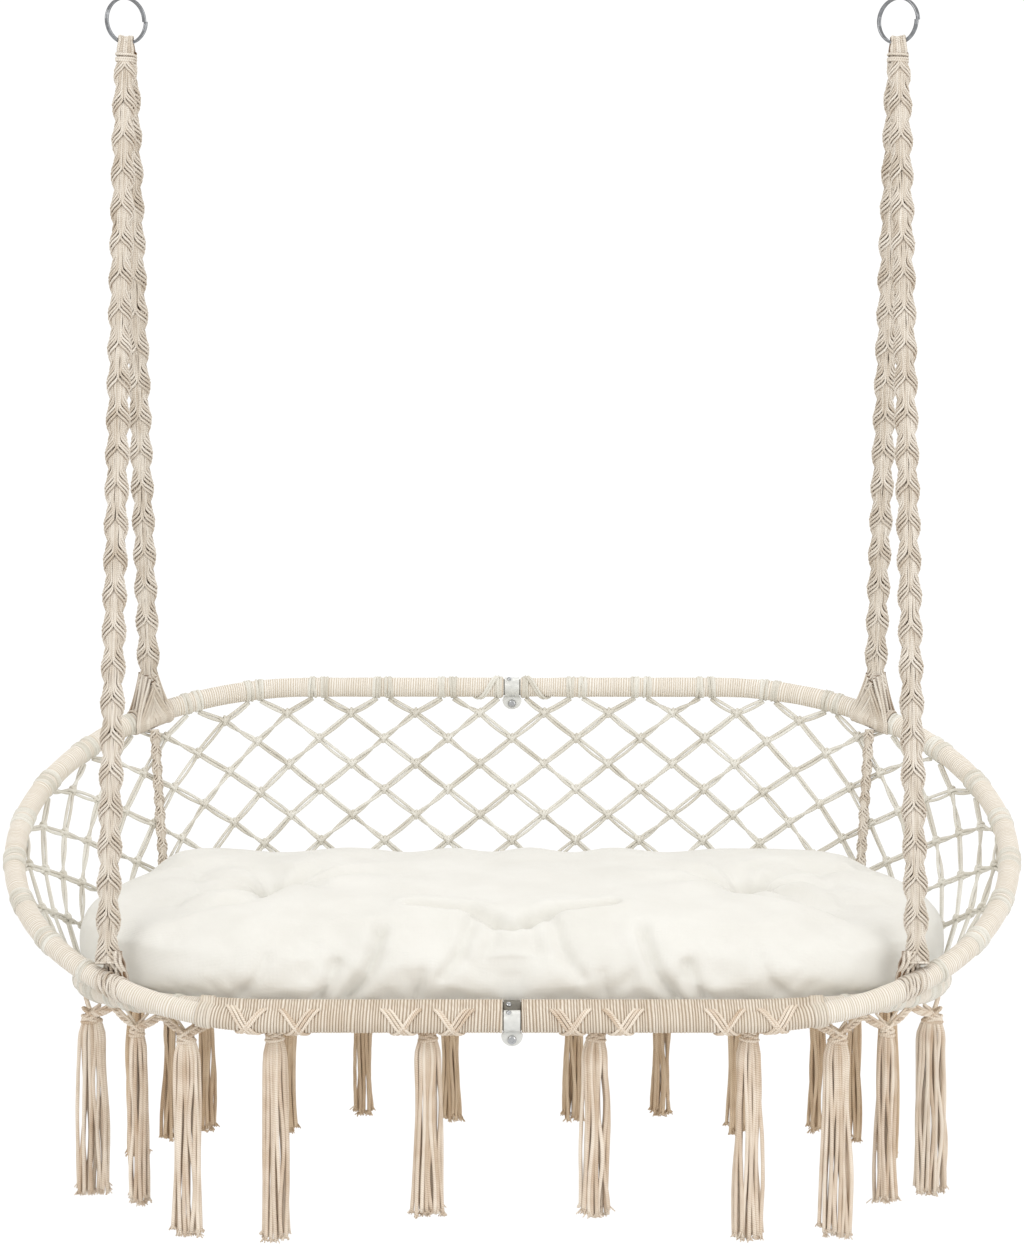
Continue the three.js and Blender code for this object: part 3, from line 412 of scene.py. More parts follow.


# A cotton material; gap is the colour of the painted shade in its grooves, laid as strongly as groove.
def cotton(name, light, shade, gap, plies, lay, groove, twist, relief, power=3.0):
    material = bpy.data.materials.new(name)
    material.use_nodes = True
    tree = material.node_tree
    shader = tree.nodes["Principled BSDF"]
    shader.inputs["Roughness"].default_value = 0.92
    shader.inputs["Specular IOR Level"].default_value = 0.15
    values = {"Light": srgb(*light), "Shade": srgb(*shade), "Gap Shade": srgb(*gap), "Plies": plies, "Lay": lay,
              "Groove": groove, "Groove Power": power, "Twist": twist, "Relief": relief}
    yarn = add_node(tree, "ShaderNodeGroup", values, node_tree=YARN)
    tree.links.new(yarn.outputs["Color"], shader.inputs["Base Color"])
    tree.links.new(yarn.outputs["Normal"], shader.inputs["Normal"])
    return material


# The winding cotton's gap colour is painted shade in the groove between turns.
winding_cotton = cotton("winding_cotton", (248, 244, 237), (232, 225, 213), (200, 184, 160), 1.0, 1.0, 0.75,
                        0.3, 0.4)


def turn_angles(count):
    return np.arange(count) * 2 * math.pi / count


def winding(hoop, side, start, stop):
    """Cord laid turn by turn round the tube: one helical groove, with turns that wander a little."""
    per_turn, around = 6, 16
    wander_step, swell_step, cord_relief = 8.0, 23.0, 1.15
    count = int((stop - start) / TURN_PITCH * per_turn)
    run = np.linspace(start, stop, count)
    centre = hoop_line(hoop, run * side)
    tangent = unit(np.gradient(centre, axis=0))
    normal = hoop_normal(hoop)
    out = unit(np.cross(tangent, normal))
    angle = turn_angles(around)
    marks = np.arange(0, stop + 60, wander_step)
    wander = np.interp(run, marks, chance.normal(0, 0.22, len(marks)))
    phase = (run / TURN_PITCH + wander)[:, None] - angle / (2 * math.pi)
    marks = np.arange(0, stop + 60, swell_step)
    swell = np.interp(run, marks, chance.normal(0, 0.16, len(marks)))
    crest = np.abs(np.sin(math.pi * phase)) ** 0.6
    radius = WINDING_R - 1.0 + swell[:, None] + cord_relief * crest
    rings = centre[:, None] + radius[..., None] * arms(angle, out[:, None], normal)
    # u is the turn's phase: where it is whole, in the groove, the yarn paints shade.
    return skin(rings[None], phase[None], 42 * angle / (2 * math.pi), (-1.0, 42.0))


LASHING_GAP = 3
for side, word in SIDES:
    for hoop, label in HOOPS:
        chunk = winding(hoop, side, CLAMP_GAP, run_at(hoop, LASHING_X, True) - LASHING_GAP)
        piece(f"{word}_{label}_cord_winding", [chunk], winding_cotton, "seat_frame",
              [f"{word}_{label}_winding"])

# Front lashing: white cotton cord wound round both front tubes at once, from the clamp to where they part.
# Here it is thicker and laid looser, so gaps show between the turns, the widest beside the clamp; their brown is
# painted shade.
LASHING_PITCH = 3.7
LASHING_R = WINDING_R + 0.9
BINDING_TURNS, BINDING_PITCH = 5, 3.3
# The lashing cotton's gap colour is painted shade, brown, in the gaps between turns.
lashing_cotton = cotton("lashing_cotton", (239, 231, 218), (213, 199, 180), (150, 121, 90), 1.0, 1.0, 0.7,
                        0.3, 0.5)


def lashing_rings(x, radius):
    """Racetrack rings round both front tubes: (N, S, 3) for x (N,) and radius (N, S)."""
    back_run = np.array([run_at(BACK, v, True) for v in x])
    seat_run = np.array([run_at(SEAT, v, True) for v in x])
    points = []
    for hoop, run, turn in ((BACK, back_run, -0.5), (SEAT, seat_run, 0.5)):
        centre = hoop_line(hoop, run)
        other = hoop_line(SEAT if hoop is BACK else BACK, seat_run if hoop is BACK else back_run)
        span = unit(centre - other) * (1 if hoop is BACK else -1)
        tangent = hoop_way(hoop, run)
        u = unit(span - (span * tangent).sum(-1, keepdims=True) * tangent)
        v = np.cross(tangent, u)
        half = radius.shape[1] // 2
        angle = math.pi * (turn + np.arange(half) / (half - 1))
        r = radius[:, :half] if hoop is BACK else radius[:, half:]
        points.append(centre[:, None] + r[..., None] * arms(angle, u[:, None], v[:, None]))
    return np.concatenate(points, axis=1)


for side, word in SIDES:
    steps = int((LASHING_X - CLAMP_GAP) / LASHING_PITCH * 7)
    x = np.linspace(CLAMP_GAP, LASHING_X, steps)
    around = 30
    knots = np.arange(0, 400, 9.0)
    wander = np.interp(x, knots, chance.normal(0, 0.24, len(knots)))
    phase = ((x - CLAMP_GAP) / LASHING_PITCH + wander)[:, None] - np.arange(around) / around
    loose = np.interp(x, np.arange(0, 400, 28.0), chance.uniform(0.0, 1.0, 15))
    upper = np.interp(np.arange(around), [0, 6, 11, 28, 33, 36], [1.0, 1.0, 0.25, 0.25, 1.0, 1.0])
    loose = np.where(x < 60, 1.0, loose)[:, None] * upper
    crest = np.abs(np.sin(math.pi * phase)) ** (0.55 + 0.4 * loose)
    radius = LASHING_R - (1.3 + 0.8 * loose) * (1 - crest)
    rings = lashing_rings(x, radius)
    if side < 0:
        rings = rings[:, ::-1] * np.array([-1, 1, 1])
        phase = phase[:, ::-1]
    chunk = skin(rings[None], phase[None], 40 * np.arange(around) / around, (-1.0 if side > 0 else 1.0, 40.0))
    binding = []
    for k in range(BINDING_TURNS):
        at = np.full(2, LASHING_X - 5.5 + BINDING_PITCH * k)
        binding.append(lashing_rings(at, np.full((2, around), LASHING_R))[0] * np.array([side, 1, 1]))
    binding = np.array(binding)
    binding = cords(binding, 1.75, sides=8, closed=True, inward=binding.mean(1, keepdims=True) - binding)
    piece(f"{word}_front_cord_lashing", [chunk, binding], lashing_cotton, "seat_frame",
          [f"{word}_front_lashing"])

# Suspension ropes: flat plaits of cotton cord. On both faces bundles of six cords come out of the middle
# and pass round the sides in turn, which gives the chain of leaf shapes.
# They run from the whipping under the ring down to the wrapped feet on the back hoop.
HANG_X = 488.0
PIVOT_Z = -52.0
LEG_Y = 13.8
PLAIT_LAY = {True: 178.0, False: 188.0}
WIDEST_AT = {True: 460.8, False: 471.8}
PIVOT_RISE = {True: 34, False: 52}
PLAIT_HALF, PLAIT_DEEP, PLAIT_CORD_R, PLAIT_TAPER = 14.2, 10.5, 1.5, 24
cad_feet = {True: np.array([-HANG_X, -243.374, -1212.618]), False: np.array([-HANG_X, 259.374, -931.182])}
# The rope cotton's gap colour is painted shade on the inward side of each cord, between neighbours; eyes, feet
# and straps use it too.
rope_cotton = cotton("rope_cotton", (243, 236, 225), (190, 174, 153), (118, 90, 64), 2.0, 0.4, 1.0, 0.45, 0.6,
                     power=1.9)


def rope_ends(front):
    """Leg point under the ring, pivot above the foot, and the direction down, of a left rope."""
    leg = np.array([-HANG_X, -LEG_Y if front else LEG_Y, PIVOT_Z - 24])
    foot = cad_feet[front]
    line = unit(foot - leg)
    return leg, foot - line * PIVOT_RISE[front], line, foot


def leaf_plait(top, bottom, across, period, widest, half, deep_half, radius, per_leg, taper=0.0):
    """Chain of leaf shapes between two points: bundles leave the middle, part and pass round the sides.

    Each period has a tongue of cords down its middle on both faces, whose two legs then swing outward.
    """
    whole = np.linalg.norm(bottom - top)
    line = (bottom - top) / whole
    across = unit(across - (across @ line) * line)
    deep = np.cross(line, across)
    marks = np.arange(-period, whole + 2 * period, 16.0)
    local = np.linspace(-0.98, 0.6, 18) * period
    first = -int(widest / period) - 1
    paths, inwards, widths = [], [], []
    for n in range(first, int((whole - widest) / period) + 2):
        apex = widest + (n - 0.2) * period
        for face in (-1, 1):
            for way in (-1, 1):
                for j in range(per_leg):
                    s = np.clip(apex + local, 0, whole)
                    ramp = np.clip((local + j * 0.62 * period / per_leg) / (0.62 * period), 0, 1)
                    theta = 0.06 + 0.75 * j / per_leg + 1.75 * (0.5 - 0.5 * np.cos(math.pi * ramp)) ** 0.9
                    rho = 0.68 + 0.32 * np.clip((local + 0.95 * period) / (0.45 * period), 0, 1)
                    rho = rho + 0.08 * np.sin(math.pi * ramp)
                    rho = rho - 0.2 * np.clip((theta - 1.5) / 0.7, 0, 1) + (0.04 if way > 0 else 0.0)
                    rho = rho + 0.05 * math.sin(math.pi * (j + 0.5) / per_leg) + chance.normal(0, 0.012)
                    pinch = 1 - 0.25 * (1 - np.cos(2 * math.pi * (s - widest) / period)) / 2
                    pinch = pinch * (0.72 + 0.28 * np.clip(s / taper, 0, 1) if taper else 1.0)
                    stray = np.interp(s, marks, chance.normal(0, 0.05, len(marks)))
                    x = way * (half - radius) * pinch * rho * np.sin(theta + stray)
                    d = face * (deep_half - radius) * pinch * rho * np.cos(theta + stray)
                    path = top + s[:, None] * line + x[:, None] * across + d[:, None] * deep
                    path = path + np.arange(len(s))[:, None] * 1e-4 * line
                    paths.append(path)
                    widths.append(radius * (0.85 + 0.4 * np.clip(ramp / 0.15, 0, 1) - 0.15 * ramp))
                    inwards.append(-(x / half)[:, None] * across - (d / deep_half)[:, None] * deep)
    core = []
    s = np.linspace(0, whole, int(whole / 8))
    for k in (-1, 0, 1):
        core.append(top + s[:, None] * line + k * 0.32 * half * across)
    skins = cords(np.array(paths), np.array(widths), sides=6, inward=np.array(inwards))
    return [skins, cords(np.array(core), 0.3 * half, sides=8, inward=deep)]


for side, word in SIDES:
    mirror = np.array([side, 1, 1])
    for front, label in ((True, "front"), (False, "rear")):
        top, pivot, line, foot = rope_ends(front)
        leaf = PLAIT_LAY[front] / 4
        bottom = pivot + line * 9.0 + np.array([-6.0 if front else 0.0, 0, 0])
        chunks = leaf_plait(top * mirror, bottom * mirror, np.array([1.0, 0, 0]), leaf, WIDEST_AT[front] % leaf,
                            PLAIT_HALF, PLAIT_DEEP, PLAIT_CORD_R, 6, taper=PLAIT_TAPER)
        piece(f"{word}_{label}_plaited_rope", chunks, rope_cotton, f"{word}_ropes",
              [f"{word}_{label}_rope"])

# Hanging eyes: the cords folded over the ring's wire, bound under it with a whipping of three turns.
# The two sides of the fold are the tops of the front and rear ropes.
RING_TURN = math.radians(38)
RING_R = 27.5
EYE_PLACES = (-8.4, -5.0, -1.7, 1.7, 5.0, 8.4)
EYE_CORD_R = 2.3
WHIPPING_TURNS, WHIPPING_PITCH, WHIPPING_CORD_R = 3, 3.9, 1.95
WHIPPING_TOP = PIVOT_Z - 13.6
WHIPPING_HALF, WHIPPING_DEEP = 11.6, 20.5
for side, word in SIDES:
    paths, inwards = [], []
    for t in EYE_PLACES:
        rise = t * t / (2 * RING_R)
        cx, cy, cz = -HANG_X + t * math.cos(RING_TURN), t * math.sin(RING_TURN), PIVOT_Z + rise
        angle = np.linspace(math.pi, 0, 13)
        loop = np.stack([np.full(13, cx), cy + 6.4 * np.cos(angle), cz + 6.0 * np.sin(angle)], -1)
        front_leg = np.array([[-HANG_X + 0.95 * t, -14.6, -84.0], [-HANG_X + 1.0 * t, -13.0, -73.0],
                              [-HANG_X + 1.05 * t, -9.6, -61.5]])
        rear_leg = front_leg[::-1] * np.array([1, -1, 1])
        path = np.concatenate([front_leg, loop, rear_leg]) + chance.normal(0, 0.25, (19, 3))
        paths.append(path)
        inwards.append(np.stack([np.zeros(19), -path[:, 1], np.minimum(cz - path[:, 2], 0)], -1) + 1e-6)
    paths = np.array(paths) * np.array([side, 1, 1])
    piece(f"{word}_folded_eye", [cords(paths, EYE_CORD_R, sides=12, inward=np.array(inwards))], rope_cotton,
          f"{word}_hanger", [f"{word}_hanging_eye"])
    turn = np.linspace(0, WHIPPING_TURNS * 2 * math.pi, 130)
    wide = WHIPPING_HALF * np.sign(np.cos(turn)) * np.abs(np.cos(turn)) ** 0.6
    deep = WHIPPING_DEEP * np.sign(np.sin(turn)) * np.abs(np.sin(turn)) ** 0.6
    height = WHIPPING_TOP - WHIPPING_PITCH * turn / (2 * math.pi) + 0.8 * np.sin(turn * 0.5)
    path = np.stack([-HANG_X * side + wide, deep, height], -1)
    whipping = cords(path, WHIPPING_CORD_R, sides=9, inward=-np.stack([wide, deep, 0 * deep], -1)[None])
    piece(f"{word}_whipping_turns", [whipping], rope_cotton, f"{word}_hanger",
          [f"{word}_whipping"])

# Rings: spring-steel wire coiled twice like a key ring, polished, turned half towards each other as they hang.
# The hook or carabiner goes through them, and they carry the eyes of the ropes.
RING_WIRE = 1.75
RING_DROP = 24.5
chrome = speckled_metal("polished_steel", (96, 98, 101), (168, 170, 173), 1.0, 0.08, 0.2, 160)
for side, word in SIDES:
    bpy.ops.object.select_all(action="DESELECT")
    bpy.ops.mesh.primitive_circle_add(vertices=18, radius=RING_WIRE * MM, rotation=(math.pi / 2, 0, 0),
                                      location=((RING_R + 0.9) * MM, 0, -RING_WIRE * 2 * MM))
    coil = bpy.context.object
    bpy.ops.object.transform_apply(location=True, rotation=True, scale=True)
    apply_modifier(coil, "SCREW", axis="Z", angle=2 * math.pi, screw_offset=RING_WIRE * 2.02 * MM, iterations=2,
                   steps=80, render_steps=80)
    bpy.ops.object.mode_set(mode="EDIT")
    bpy.ops.mesh.select_all(action="SELECT")
    bpy.ops.mesh.remove_doubles(threshold=0.00001)
    bpy.ops.mesh.fill_holes(sides=0)
    bpy.ops.mesh.select_all(action="SELECT")
    bpy.ops.mesh.normals_make_consistent(inside=False)
    bpy.ops.object.mode_set(mode="OBJECT")
    coil.rotation_euler = (math.pi / 2, 0, side * RING_TURN)
    coil.location = (-side * HANG_X * MM, 0, -RING_DROP * MM)
    keep_piece(coil, f"{word}_steel_ring", chrome, "rings", [f"{word}_ring"], smooth=60)

# Rope feet: the strands of each rope fan out, cross one another and wrap round the back hoop side by side.
# The rear feet spread to a wedge in sight; the front feet are narrow and pass behind the hoop.
FAN_CORDS, FAN_HALF, FAN_DEEP, FAN_WEAVE = 8, 10.6, 8.2, 2.4
CHEVRON_CORDS, CHEVRON_TOP, CHEVRON_HALF = 12, 64.0, 28.0
LEVEL_DROP, CORD_DROP, CORD_STEP = 8.6, 3.6, 2.35
FLARE = {True: 17.0, False: 27.0}
FOOT_CORD_R = {True: 2.4, False: 2.0}
CORE_CORD_R = 3.0
# Turns of each foot round the hoop: how many, how far out, and the radius of their cord.
WRAPS = {True: (11, 14.2, 1.7), False: (17, 15.1, 2.15)}


def foot_fan(pivot, up, u, v, run):
    """Cords of a front foot, from round the rope's end to the hoop's inner side, leaning by turns."""
    inner = v if v[1] > 0 else -v
    paths, inwards = [], []
    for face in (-1, 1):
        for j in range(FAN_CORDS):
            share = (j + 0.5) / FAN_CORDS * 2 - 1
            lean = 0.5 if (j + (face > 0)) % 2 else -0.5
            beside = u * (FAN_HALF * math.sin(share * math.pi / 2))
            start = pivot + up * 5 + beside + v * face * (FAN_DEEP * math.cos(share * math.pi / 2))
            ring_centre = hoop_line(BACK, run + float(np.clip(share * 0.86 + lean, -1, 1)) * FLARE[True])
            end = ring_centre + inner * 14.6 - up * 1.0
            above = ring_centre + inner * 11.0 + up * 15.5
            t = np.linspace(0, 1, 18)[:, None]
            path = (1 - t) ** 3 * start + 3 * (1 - t) ** 2 * t * (start - up * 8)
            path = path + 3 * (1 - t) * t**2 * above + t**3 * end
            weave = FAN_WEAVE * np.sin(2 * math.pi * (t * 2.0 + 0.5 * (lean > 0)))
            paths.append(path + weave * np.sin(math.pi * t) * v * face)
            inwards.append(np.broadcast_to(-v * face, path.shape))
    return paths, inwards


def foot_chevrons(foot, up, u, v, slope):
    """Cords of a rear foot: nested chevrons on both faces, from the middle to under the hoop."""
    paths, inwards = [], []
    bend = np.linspace(0.3, 1.25, 5)
    t = np.linspace(0, 1, 16)
    for face in (-1, 1):
        for way in (-1, 1):
            for j in range(CHEVRON_CORDS):
                level, k = divmod(j, 2)
                high = CHEVRON_TOP - LEVEL_DROP * level - CORD_DROP * k
                start_u = way * (8.3 - 3.6 * k) if level == 0 else -way * 2.2
                stop_u = way * (CHEVRON_HALF - CORD_STEP * j)
                low = slope * stop_u
                u_path = start_u + (stop_u - start_u) * t**1.1
                h_path = high + (low + 1.0 - high) * t
                edge = 10.5 + 20.0 * np.clip((62 - h_path) / 62, 0, 1)
                round_off = np.sqrt(np.clip(1.06 - (u_path / edge) ** 2, 0.04, 1))
                over = 1.6 if (way > 0) == (level % 2 == 0) else 0.0
                v_path = (8.6 + 0.5 * (5 - level) + 1.1 * (1 - k) + over) * round_off + chance.normal(0, 0.25)
                v_path = np.concatenate([v_path * (1 - t**3) + 15.2 * t**3, 15.6 * np.cos(bend)])
                u_path = np.concatenate([u_path, np.full(5, stop_u) - way * np.linspace(0.5, 3.5, 5)])
                h_path = np.concatenate([h_path, low - 13.0 * np.sin(bend)])
                paths.append(foot + u_path[:, None] * u + h_path[:, None] * up + face * v_path[:, None] * v)
                inwards.append(-face * v_path[:, None] * v - 0.3 * u_path[:, None] * u)
    return paths, inwards


def foot_core(foot, up, u, v, slope):
    """Cords inside a rear foot that fill it behind the chevrons."""
    paths = []
    for layer in (-6.0, 0.0, 6.0):
        for j in range(-4, 5):
            begin = foot + up * 63.0 + u * 1.9 * j + v * layer
            stop = foot + up * (6.0 + slope * 5.6 * j) + u * 5.6 * j + v * layer * 1.6
            paths.append(begin + (stop - begin) * np.linspace(0, 1, 6)[:, None])
    return np.array(paths)


for side, word in SIDES:
    mirror = np.array([side, 1, 1])
    for front, label in ((True, "front"), (False, "rear")):
        _, pivot, line, foot = rope_ends(front)
        up = -line
        run = run_at(BACK, HANG_X, front)
        tangent = hoop_way(BACK, run)
        u = unit(tangent - (tangent @ up) * up)
        v = np.cross(up, u)
        slope = (tangent @ up) / (tangent @ u)
        paths, inwards = foot_fan(pivot, up, u, v, run) if front else foot_chevrons(foot, up, u, v, slope)
        chunks = [cords(np.array(paths) * mirror, FOOT_CORD_R[front], sides=9,
                        inward=np.array(inwards) * mirror)]
        if not front:
            core = foot_core(foot, up, u, v, slope) * mirror
            chunks.append(cords(core, CORE_CORD_R, sides=8, inward=core.mean((0, 1)) - core))
        wraps, inwards = [], []
        wrap_count, wrap_reach, wrap_cord = WRAPS[front]
        for j in range(wrap_count):
            share = (j + 0.5) / wrap_count * 2 - 1
            ring_centre = hoop_line(BACK, run + share * (FLARE[front] + 1.0))
            turn = turn_angles(24)
            reach = wrap_reach + chance.normal(0, 0.3)
            way = arms(turn, up, v)
            lean = 2.0 * np.sin(turn + chance.uniform(0, 6))
            wraps.append(ring_centre + reach * way + lean[:, None] * u)
            inwards.append(-way)
        chunks.append(cords(np.array(wraps) * mirror, wrap_cord, sides=9, closed=True,
                            inward=np.array(inwards) * mirror))
        piece(f"{word}_{label}_wrapped_foot", chunks, rope_cotton, "seat_frame",
              [f"{word}_{label}_rope_foot"])

# Netting: pairs of thin cotton cords, crossed and tied in square knots on a diamond grid.
# Its edges are hitched round the back hoop above and the seat hoop below.
CELL_W, CELL_H = 44.0, 34.7
NET_CLEAR = WINDING_R + 0.3
BEND_RUN = 2 * BACK["bend"] * math.sin(math.pi / 24) * 12
END_SPREAD = 36.0
REACH = 0.86
CORD_R, KNOT_R = 2.05, 5.4
HITCH_R, HITCH_STEP = WINDING_R - 0.35, 3.3
OVER_R, OVER_CORD_R = WINDING_R + 1.5, 1.9
EDGE_MARGIN = 12
CLAMP_CLEAR = 18.3
MIDDLE_COLUMNS = 6
net_cotton = cotton("net_cotton", (236, 234, 226), (200, 193, 178), (176, 158, 130), 2.0, 0.4, 0.0, 0.25, 0.3)


def ruled_run(hoop, run):
    """Distance along a hoop of the net's straight line that starts at this distance along the back hoop."""
    far = abs(run)
    if far <= BACK["straight"]:
        return far / BACK["straight"] * hoop["straight"]
    return hoop["straight"] + hoop["bend"] * (math.pi * min((far - BACK["straight"]) / BEND_RUN, 1.0))


def ruling(run):
    """Point on the back hoop, direction down to the seat hoop, and the first and last free distance."""
    back_run, seat_run = ruled_run(BACK, run), ruled_run(SEAT, run)
    top, bottom = hoop_line(BACK, back_run), hoop_line(SEAT, seat_run)
    down = unit(bottom - top)
    first = NET_CLEAR / np.linalg.norm(np.cross(down, hoop_way(BACK, back_run)))
    last = np.linalg.norm(bottom - top) - NET_CLEAR / np.linalg.norm(np.cross(down, hoop_way(SEAT, seat_run)))
    return top, down, first, last


def net_point(run, drop):
    top, down, _, _ = ruling(run)
    point = top + down * drop
    if run < 0:
        point = point * np.array([-1, 1, 1])
    return point


def net_frame(run, drop):
    centre = net_point(run, drop)
    across = unit(net_point(run + 5, drop) - net_point(run - 5, drop))
    down = unit(net_point(run, drop + 5) - centre)
    return centre, across, down, unit(np.cross(across, down))


LAST_COLUMN = int((BACK["straight"] + BEND_RUN) / CELL_W)
back_knots = {}
for column in range(-LAST_COLUMN, LAST_COLUMN + 1):
    row = 0
    while (row + 1) * CELL_H < ruling(column * CELL_W)[3] - EDGE_MARGIN:
        if (row + column) % 2:
            back_knots[column, row] = net_frame(column * CELL_W, (row + 1) * CELL_H)
        row += 1


def pair_paths(start, end, normal, count=11, gap=1.85, sag=1.4):
    """Two cords of a pair between two points, splayed in the middle; some pairs cross once."""
    line = end - start
    length = np.linalg.norm(line)
    t = np.linspace(0, 1, count)[:, None]
    way = line / length
    beside = unit(np.cross(normal, way))
    spread = np.sin(math.pi * t) * chance.uniform(0.2, 0.75) + 0.85
    twist = math.pi * (t if chance.uniform() < 0.3 else 0.12 * t) + chance.uniform(-0.5, 0.5)
    offset = gap * spread * (np.cos(twist) * beside + 0.8 * np.sin(twist) * normal)
    middle = start + line * t - np.array([0, 0, 1.0]) * sag * np.sin(math.pi * t) * chance.uniform(0.2, 1.0)
    return [middle + offset, middle - offset]


def knot_paths(centre, across, down, normal, size):
    """Three tight turns round the crossing, two leaning and one nearly straight: a square knot."""
    turn = np.linspace(0, 2 * math.pi, 14, endpoint=False)
    loops = []
    for lean, slide in ((0.75, -2.0), (-0.75, 2.0), (0.1, 0.0)):
        way = unit(down * math.cos(lean) + across * math.sin(lean))
        loops.append(centre + across * slide + arms(turn, size * way, 0.7 * size * normal))
    return loops


def net_chunks(knots, columns, struts_end):
    """Cords of all struts whose upper knot is in these columns, and the knots there."""
    paths, loops, hitches = [], [], []
    for (column, row), (centre, across, down, normal) in knots.items():
        if not columns(column):
            continue
        size = KNOT_R * chance.uniform(0.9, 1.12)
        loops += knot_paths(centre, across, down, normal, size)
        for step, drop in ((1, 1), (-1, 1), (-1, -1), (1, -1)):
            other = knots.get((column + step, row + drop))
            if other is not None:
                if drop > 0:
                    paths += pair_paths(centre, other[0], normal)
                continue
            end = struts_end(column, row, step, drop)
            if end is not None:
                point, ring = end
                paths += pair_paths(centre, point, normal)
                hitches += ring
    chunks = [cords(np.array(paths), CORD_R, sides=6)]
    chunks.append(cords(np.array(loops), CORD_R * 1.06, sides=6, closed=True))
    if hitches:
        chunks.append(cords(np.array(hitches), CORD_R, sides=6, closed=True))
    return chunks


def hitch(hoop, run, side):
    """Three close turns of a cord round a hoop's winding."""
    rings = []
    turn = np.linspace(0, 2 * math.pi, 20, endpoint=False)
    for slide in (-HITCH_STEP, 0.0, HITCH_STEP):
        tangent, normal = hoop_way(hoop, run + slide), hoop_normal(hoop)
        lean = 1.1 * np.sin(turn + chance.uniform(0, 6))
        ring = hoop_line(hoop, run + slide) + HITCH_R * arms(turn, np.cross(tangent, normal), normal)
        ring = ring + lean[:, None] * tangent
        rings.append(ring * np.array([side, 1, 1]))
    return rings


def back_net_end(column, row, step, drop):
    run = column * CELL_W
    if drop < 0:
        if row > 0:
            return None
        target = run + step * END_SPREAD
        target = math.copysign(max(abs(target), CLAMP_CLEAR), target)
        point = net_point(target, ruling(target)[2] + 1.0)
        return point, hitch(BACK, ruled_run(BACK, target), -1 if target < 0 else 1)
    reach = 0.5
    for _ in range(30):
        here = run + step * CELL_W * reach
        reach = (reach + (ruling(here)[3] - (row + 1) * CELL_H) / CELL_H) / 2
    target = run + step * CELL_W * min(reach, REACH)
    if abs(target) >= BACK["straight"] + BEND_RUN:
        return None
    point = net_point(target, ruling(target)[3] - 1.0)
    return point, hitch(SEAT, ruled_run(SEAT, target), -1 if target < 0 else 1)


# Cords that cross over the back hoop's winding on both sides of the rear clamp.
over = []
for way in (-1, 1):
    for k in range(2):
        t = np.linspace(0, 1, 20)
        run = way * (52 - 30 * t - 4.0 * k)
        angle = -math.pi / 2 + math.pi * 1.1 * t
        centre = hoop_line(BACK, run)
        out = np.array([0, -math.cos(BACK["tilt"]), -math.sin(BACK["tilt"])])
        over.append(centre + OVER_R * arms(angle, out, hoop_normal(BACK)))
back_chunks = net_chunks(back_knots, lambda c: abs(c) <= MIDDLE_COLUMNS, back_net_end)
back_chunks.append(cords(np.array(over), OVER_CORD_R, sides=8))
piece("back_cord_net", back_chunks, net_cotton, "seat_frame", ["back_net"])
for side, word in SIDES:
    chunks = net_chunks(back_knots, lambda c: side * c > MIDDLE_COLUMNS, back_net_end)
    piece(f"{word}_side_cord_net", chunks, net_cotton, "seat_frame", [f"{word}_side_net"])

# Seat netting: the same knotted cord, level inside the seat hoop, where it carries the cushion.
# It is hitched round the hoop's winding. The cushion covers it, so its cells are a guess.
SEAT_W, SEAT_D = 62.0, 52.0
SEAT_MARGIN = 24


def seat_clear(x, y):
    return SEAT["bend"] - math.hypot(max(abs(x) - SEAT["straight"], 0), y - SEAT["y"])


seat_knots = {}
for column in range(-9, 10):
    for row in range(-6, 7):
        x, y = column * SEAT_W, SEAT["y"] + row * SEAT_D
        if (column + row) % 2 == 0 and seat_clear(x, y) * math.cos(math.pi / 24) > NET_CLEAR + SEAT_MARGIN:
            seat_knots[column, row] = (np.array([x, y, SEAT["z"]]), *np.eye(3))


def seat_net_end(column, row, step, drop):
    start = np.array([column * SEAT_W, SEAT["y"] + row * SEAT_D, SEAT["z"]])
    heading = np.array([step * SEAT_W, drop * SEAT_D, 0.0])
    reached = start + heading * REACH
    if seat_clear(reached[0], reached[1]) > NET_CLEAR:
        end_x = math.copysign(max(abs(reached[0]) - SEAT["straight"], 0), reached[0])
        start, heading = reached, unit(np.array([end_x, reached[1] - SEAT["y"], 0.0])) * SEAT["bend"]
    low, high = 0.0, 1.0
    for _ in range(40):
        middle = (low + high) / 2
        point = start + heading * middle
        if seat_clear(point[0], point[1]) > NET_CLEAR:
            low = middle
        else:
            high = middle
    point = start + heading * low
    x, y = point[0], point[1] - SEAT["y"]
    if abs(x) <= SEAT["straight"]:
        arc = abs(x) if y > 0 else 2 * SEAT["straight"] + math.pi * SEAT["bend"] - abs(x)
    else:
        arc = SEAT["straight"] + SEAT["bend"] * math.atan2(abs(x) - SEAT["straight"], y)
    if y < 0 and abs(x) < LASHING_X:
        return point, []
    return point, hitch(SEAT, arc, 1 if x < 0 else -1)


piece("seat_cord_net", net_chunks(seat_knots, lambda c: True, seat_net_end), net_cotton, "seat_frame",
      ["seat_net"])

